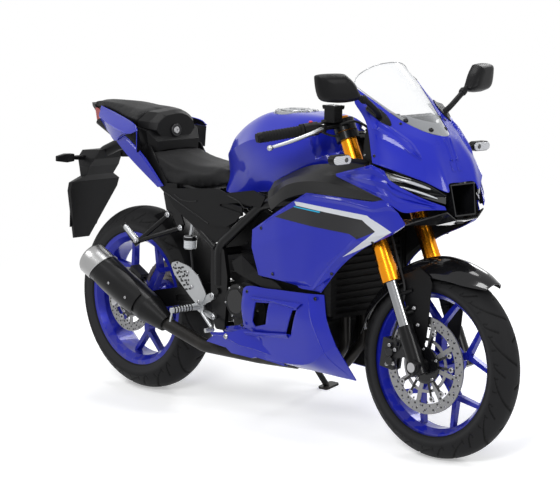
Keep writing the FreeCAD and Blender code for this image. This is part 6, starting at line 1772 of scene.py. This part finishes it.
def build_rearsets():
    """Slots in the heel guards, their bolts and the peg rubbers."""
    guard = Piece("heel_guard_slots", "gloss black", "bolt steel", "rubber")
    for row in range(6):
        for k in range(3 if row < 3 else 2):
            x, z = -369 + 11.0 * row + 18 * k, 470 - 12.5 * row + 4.0 * k
            guard.slab([(x, -158.2, z), (x + 11, -158.2, z + 2.5), (x + 14, -158.2, z - 3),
                        (x + 3, -158.2, z - 5.5)],
                       (0, -0.8, 0))
    for x, z in ((-302, 462), (-280, 417), (-246, 372)):
        guard.bolt((x, -158, z), (0, -1, 0), 6.5, 4, 1)
    start, end = Vector((-252, -158, 357)), Vector((-276, -249, 350))
    way = (end - start).normalized()
    for k in range(7):
        at = start + way * (22 + 10 * k)
        guard.lathe(at, at + way * 4, [(0, 11.2), (1, 12.8), (3, 12.8), (4, 11.2)], 20, 2)
    guard.mirrored().made("chassis", sharp=40, slot="aluminium")


def build_tail_details():
    """The black plate at the tail's end, its lamp, the rear reflector and two bolts."""
    plate = Piece("number_plate_blank", "satin black", "red lens", "clear lens", "bolt steel")
    plate.slab([(-1006, -92, 672), (-1006, 92, 672), (-1052, 60, 520), (-1052, -60, 520)], (-2, 0, -0.5))
    plate.rod((-1010, 0, 690), (-1019, 0, 688), 16, 28, 1)
    plate.tube([(-1012, -26, 716), (-1012, 26, 716)], 6, 12, 2, parts=1)
    for side in (1, -1):
        plate.bolt((-1010, 30 * side, 662), (-1, 0, -0.2), 4.5, 3, 3)
    plate.made("chassis", bevel=1.0, sharp=40, slot="plastic_black")


def build_pegs():
    """The passenger's pegs with their silver castings, and bracket bolts."""
    pegs = Piece("passenger_pegs", "alloy", "bolt steel")
    apex, end = Vector((-546, -170, 541)), Vector((-593, -190, 592))
    way = (end - apex).normalized()
    pegs.lathe(apex - way * 6, end, [(0, 8), (6, 11), (20, 10.5), (66, 8.5), (76, 6)], 20)
    pegs.rod(apex + Vector((0, 8, 0)), apex + Vector((0, -12, 0)), 8, 20, 1)
    for at in ((-440, -124, 636), (-375, -124, 599)):
        pegs.rod(at, Vector(at) + Vector((0, -7, 0)), 10, 20, 0)
        pegs.bolt(Vector(at) + Vector((0, -7, 0)), (0, -1, 0), 6.5, 4, 1)
    pegs.mirrored().made("chassis", sharp=30, slot="aluminium")
    cup = Piece("rear_fluid_cup", "clear lens", "satin black", "hose")
    cup.lathe((-330, -122, 536), (-330, -122, 566), [(0, 19.5), (2, 21.6), (26, 21.6), (28, 20)], 32)
    cup.lathe((-330, -122, 563), (-330, -122, 578), [(0, 22.5), (2, 23.2), (9, 23.2), (11, 19), (14, 18)], 32,
              1)
    cup.tube([(-330, -122, 538), (-318, -126, 500), (-300, -132, 440), (-262, -140, 380)], 3.6, 10, 2)
    cup.made("chassis", sharp=30, slot="aluminium")
    nut = Piece("axle_nuts", "bolt steel")
    for side in (1, -1):
        out = Vector((0, side, 0))
        nut.lathe(REAR_AXLE + out * 146, REAR_AXLE + out * 160, [(0, 15), (2, 16), (10, 15), (12, 12)], 6)
    nut.made("chassis", sharp=20, slot="axle_steel")


# Add-on


class MotorcycleColours(bpy.types.PropertyGroup):
    """Colours that a user would change."""

    paint: bpy.props.FloatVectorProperty(name="Paint", description="Colour of the body panels and wheels",
                                         subtype="COLOR", size=3, min=0, max=1, default=(0.01, 0.017, 0.37))
    fork: bpy.props.FloatVectorProperty(name="Fork", description="Colour of the fork's anodised outer tubes",
                                        subtype="COLOR", size=3, min=0, max=1, default=(0.75, 0.27, 0.012))


class MotorcycleSizes(bpy.types.PropertyGroup):
    """Sizes that a user would change."""

    panel_skin: bpy.props.FloatProperty(name="Panel thickness", description="Thickness of the body panels",
                                        unit="LENGTH", default=0.0032, min=0.001, max=0.006)
    edge_round: bpy.props.FloatProperty(name="Edge rounding", description="Rounding of the panels' edges",
                                        unit="LENGTH", default=0.0009, min=0.0, max=0.003)
    groove_depth: bpy.props.FloatProperty(name="Tread depth", description="Depth of the tyres' grooves",
                                          unit="LENGTH", default=0.003, min=0.0, max=0.006)


class MOTORCYCLE_OT_stage(bpy.types.Operator):
    """Sets the camera, the floor and the lamps."""

    bl_idname = "motorcycle.stage"
    bl_label = "Stage"

    def execute(self, context):
        build_stage()
        return {"FINISHED"}


class MOTORCYCLE_OT_solids(bpy.types.Operator):
    """Gives the solids of the frame, engine, fork and wheels their finishes."""

    bl_idname = "motorcycle.solids"
    bl_label = "Solid finishes"

    def execute(self, context):
        carry_solids()
        return {"FINISHED"}


class MOTORCYCLE_OT_upper_cowl(bpy.types.Operator):
    """Builds the painted nose with the mirror feet and its bolts."""

    bl_idname = "motorcycle.upper_cowl"
    bl_label = "Upper cowl"

    def execute(self, context):
        build_upper_cowl()
        return {"FINISHED"}


class MOTORCYCLE_OT_cowl_stay(bpy.types.Operator):
    """Builds the stay and the cover plates behind the nose."""

    bl_idname = "motorcycle.cowl_stay"
    bl_label = "Cowl stay"

    def execute(self, context):
        build_cowl_stay()
        return {"FINISHED"}


class MOTORCYCLE_OT_screen(bpy.types.Operator):
    """Builds the clear windscreen with its grey lower edge."""

    bl_idname = "motorcycle.screen"
    bl_label = "Screen"

    def execute(self, context):
        build_screen()
        return {"FINISHED"}


class MOTORCYCLE_OT_side_fairings(bpy.types.Operator):
    """Builds the sides with their stripes and the headlight cheeks."""

    bl_idname = "motorcycle.side_fairings"
    bl_label = "Side fairings"

    def execute(self, context):
        build_side_fairings()
        return {"FINISHED"}


class MOTORCYCLE_OT_wing_trims(bpy.types.Operator):
    """Builds the black trims along the top of the sides."""

    bl_idname = "motorcycle.wing_trims"
    bl_label = "Wing trims"

    def execute(self, context):
        build_wing_trims()
        return {"FINISHED"}


class MOTORCYCLE_OT_belly_pan(bpy.types.Operator):
    """Builds the lower panels with their openings and ledges."""

    bl_idname = "motorcycle.belly_pan"
    bl_label = "Belly pan"

    def execute(self, context):
        build_belly_pan()
        return {"FINISHED"}


class MOTORCYCLE_OT_fuel_tank(bpy.types.Operator):
    """Builds the tank, its side covers and the cap's trim."""

    bl_idname = "motorcycle.fuel_tank"
    bl_label = "Fuel tank"

    def execute(self, context):
        build_fuel_tank()
        return {"FINISHED"}


class MOTORCYCLE_OT_seats(bpy.types.Operator):
    """Builds the two stuffed seats with their sewn edges."""

    bl_idname = "motorcycle.seats"
    bl_label = "Seats"

    def execute(self, context):
        build_seats()
        return {"FINISHED"}


class MOTORCYCLE_OT_tail_cowl(bpy.types.Operator):
    """Builds the painted tail sides and the seat lock."""

    bl_idname = "motorcycle.tail_cowl"
    bl_label = "Tail cowl"

    def execute(self, context):
        build_tail_cowl()
        return {"FINISHED"}


class MOTORCYCLE_OT_panel_creases(bpy.types.Operator):
    """Builds the raised folds and ledges of the panels."""

    bl_idname = "motorcycle.panel_creases"
    bl_label = "Panel creases"

    def execute(self, context):
        build_panel_creases()
        return {"FINISHED"}


class MOTORCYCLE_OT_tyres(bpy.types.Operator):
    """Builds both tyres with their tread grooves."""

    bl_idname = "motorcycle.tyres"
    bl_label = "Tyres"

    def execute(self, context):
        build_tyres()
        return {"FINISHED"}


class MOTORCYCLE_OT_front_mudguard(bpy.types.Operator):
    """Builds the front mudguard and its stays."""

    bl_idname = "motorcycle.front_mudguard"
    bl_label = "Front mudguard"

    def execute(self, context):
        build_front_mudguard()
        return {"FINISHED"}


class MOTORCYCLE_OT_lamps(bpy.types.Operator):
    """Builds the headlight strips and the signal housings."""

    bl_idname = "motorcycle.lamps"
    bl_label = "Lamps"

    def execute(self, context):
        build_lamps()
        return {"FINISHED"}


class MOTORCYCLE_OT_cockpit(bpy.types.Operator):
    """Builds the dial, grip ribs, levers, reservoir lid and lines."""

    bl_idname = "motorcycle.cockpit"
    bl_label = "Cockpit"

    def execute(self, context):
        build_cockpit()
        return {"FINISHED"}


class MOTORCYCLE_OT_brakes(bpy.types.Operator):
    """Builds the disc carriers and the caliper's bolts."""

    bl_idname = "motorcycle.brakes"
    bl_label = "Brakes"

    def execute(self, context):
        build_brakes()
        return {"FINISHED"}


class MOTORCYCLE_OT_fork_rings(bpy.types.Operator):
    """Builds the rings, seals and caps of the fork."""

    bl_idname = "motorcycle.fork_rings"
    bl_label = "Fork rings"

    def execute(self, context):
        build_fork_rings()
        return {"FINISHED"}


class MOTORCYCLE_OT_exhaust_trim(bpy.types.Operator):
    """Builds the silencer's end cap, heat shield and bolts."""

    bl_idname = "motorcycle.exhaust_trim"
    bl_label = "Exhaust trim"

    def execute(self, context):
        build_exhaust_trim()
        return {"FINISHED"}


class MOTORCYCLE_OT_engine_dress(bpy.types.Operator):
    """Builds the engine's case covers and bolts."""

    bl_idname = "motorcycle.engine_dress"
    bl_label = "Engine dress"

    def execute(self, context):
        build_engine_dress()
        return {"FINISHED"}


class MOTORCYCLE_OT_rearsets(bpy.types.Operator):
    """Builds the heel guards' slots and the peg rubbers."""

    bl_idname = "motorcycle.rearsets"
    bl_label = "Rearsets"

    def execute(self, context):
        build_rearsets()
        return {"FINISHED"}


class MOTORCYCLE_OT_tail_details(bpy.types.Operator):
    """Builds the blank plate and its lamp."""

    bl_idname = "motorcycle.tail_details"
    bl_label = "Tail details"

    def execute(self, context):
        build_tail_details()
        return {"FINISHED"}


class MOTORCYCLE_OT_pegs(bpy.types.Operator):
    """Builds the passenger's pegs, the rear fluid cup and the axle nuts."""

    bl_idname = "motorcycle.pegs"
    bl_label = "Pegs"

    def execute(self, context):
        build_pegs()
        return {"FINISHED"}


class MOTORCYCLE_OT_mirrors(bpy.types.Operator):
    """Builds the mirror housings, stalks and feet."""

    bl_idname = "motorcycle.mirrors"
    bl_label = "Mirrors"

    def execute(self, context):
        build_mirrors()
        return {"FINISHED"}


class MOTORCYCLE_OT_fillers(bpy.types.Operator):
    """Builds the inner black panels and the belly pan's lower flap."""

    bl_idname = "motorcycle.fillers"
    bl_label = "Fillers"

    def execute(self, context):
        build_fillers()
        return {"FINISHED"}


STEPS = (
    MOTORCYCLE_OT_stage, MOTORCYCLE_OT_solids, MOTORCYCLE_OT_upper_cowl, MOTORCYCLE_OT_cowl_stay,
    MOTORCYCLE_OT_screen, MOTORCYCLE_OT_side_fairings, MOTORCYCLE_OT_wing_trims,
    MOTORCYCLE_OT_belly_pan, MOTORCYCLE_OT_fuel_tank, MOTORCYCLE_OT_seats, MOTORCYCLE_OT_tail_cowl,
    MOTORCYCLE_OT_panel_creases, MOTORCYCLE_OT_tyres, MOTORCYCLE_OT_front_mudguard, MOTORCYCLE_OT_lamps,
    MOTORCYCLE_OT_cockpit, MOTORCYCLE_OT_brakes, MOTORCYCLE_OT_fork_rings, MOTORCYCLE_OT_exhaust_trim,
    MOTORCYCLE_OT_engine_dress, MOTORCYCLE_OT_rearsets, MOTORCYCLE_OT_tail_details, MOTORCYCLE_OT_pegs,
    MOTORCYCLE_OT_mirrors, MOTORCYCLE_OT_fillers,
)


class MOTORCYCLE_PT_finish(bpy.types.Panel):
    """Lists the colours, the sizes and the steps."""

    bl_label = "Motorcycle"
    bl_idname = "MOTORCYCLE_PT_finish"
    bl_space_type = "VIEW_3D"
    bl_region_type = "UI"
    bl_category = "Motorcycle"

    def draw(self, context):
        for settings in (context.scene.motorcycle_colours, context.scene.motorcycle_sizes):
            for name in settings.bl_rna.properties.keys():
                if name not in ("rna_type", "name"):
                    self.layout.prop(settings, name)
        for operator in STEPS:
            self.layout.operator(operator.bl_idname)


CLASSES = (MotorcycleColours, MotorcycleSizes, *STEPS, MOTORCYCLE_PT_finish)


def register():
    for item in CLASSES:
        bpy.utils.register_class(item)
    bpy.types.Scene.motorcycle_colours = bpy.props.PointerProperty(type=MotorcycleColours)
    bpy.types.Scene.motorcycle_sizes = bpy.props.PointerProperty(type=MotorcycleSizes)


def unregister():
    del bpy.types.Scene.motorcycle_sizes
    del bpy.types.Scene.motorcycle_colours
    for item in reversed(CLASSES):
        bpy.utils.unregister_class(item)


def main():
    """Builds everything in order."""
    register()
    for operator in STEPS:
        getattr(bpy.ops.motorcycle, operator.bl_idname.split(".")[1])()


if __name__ == "__main__":
    main()
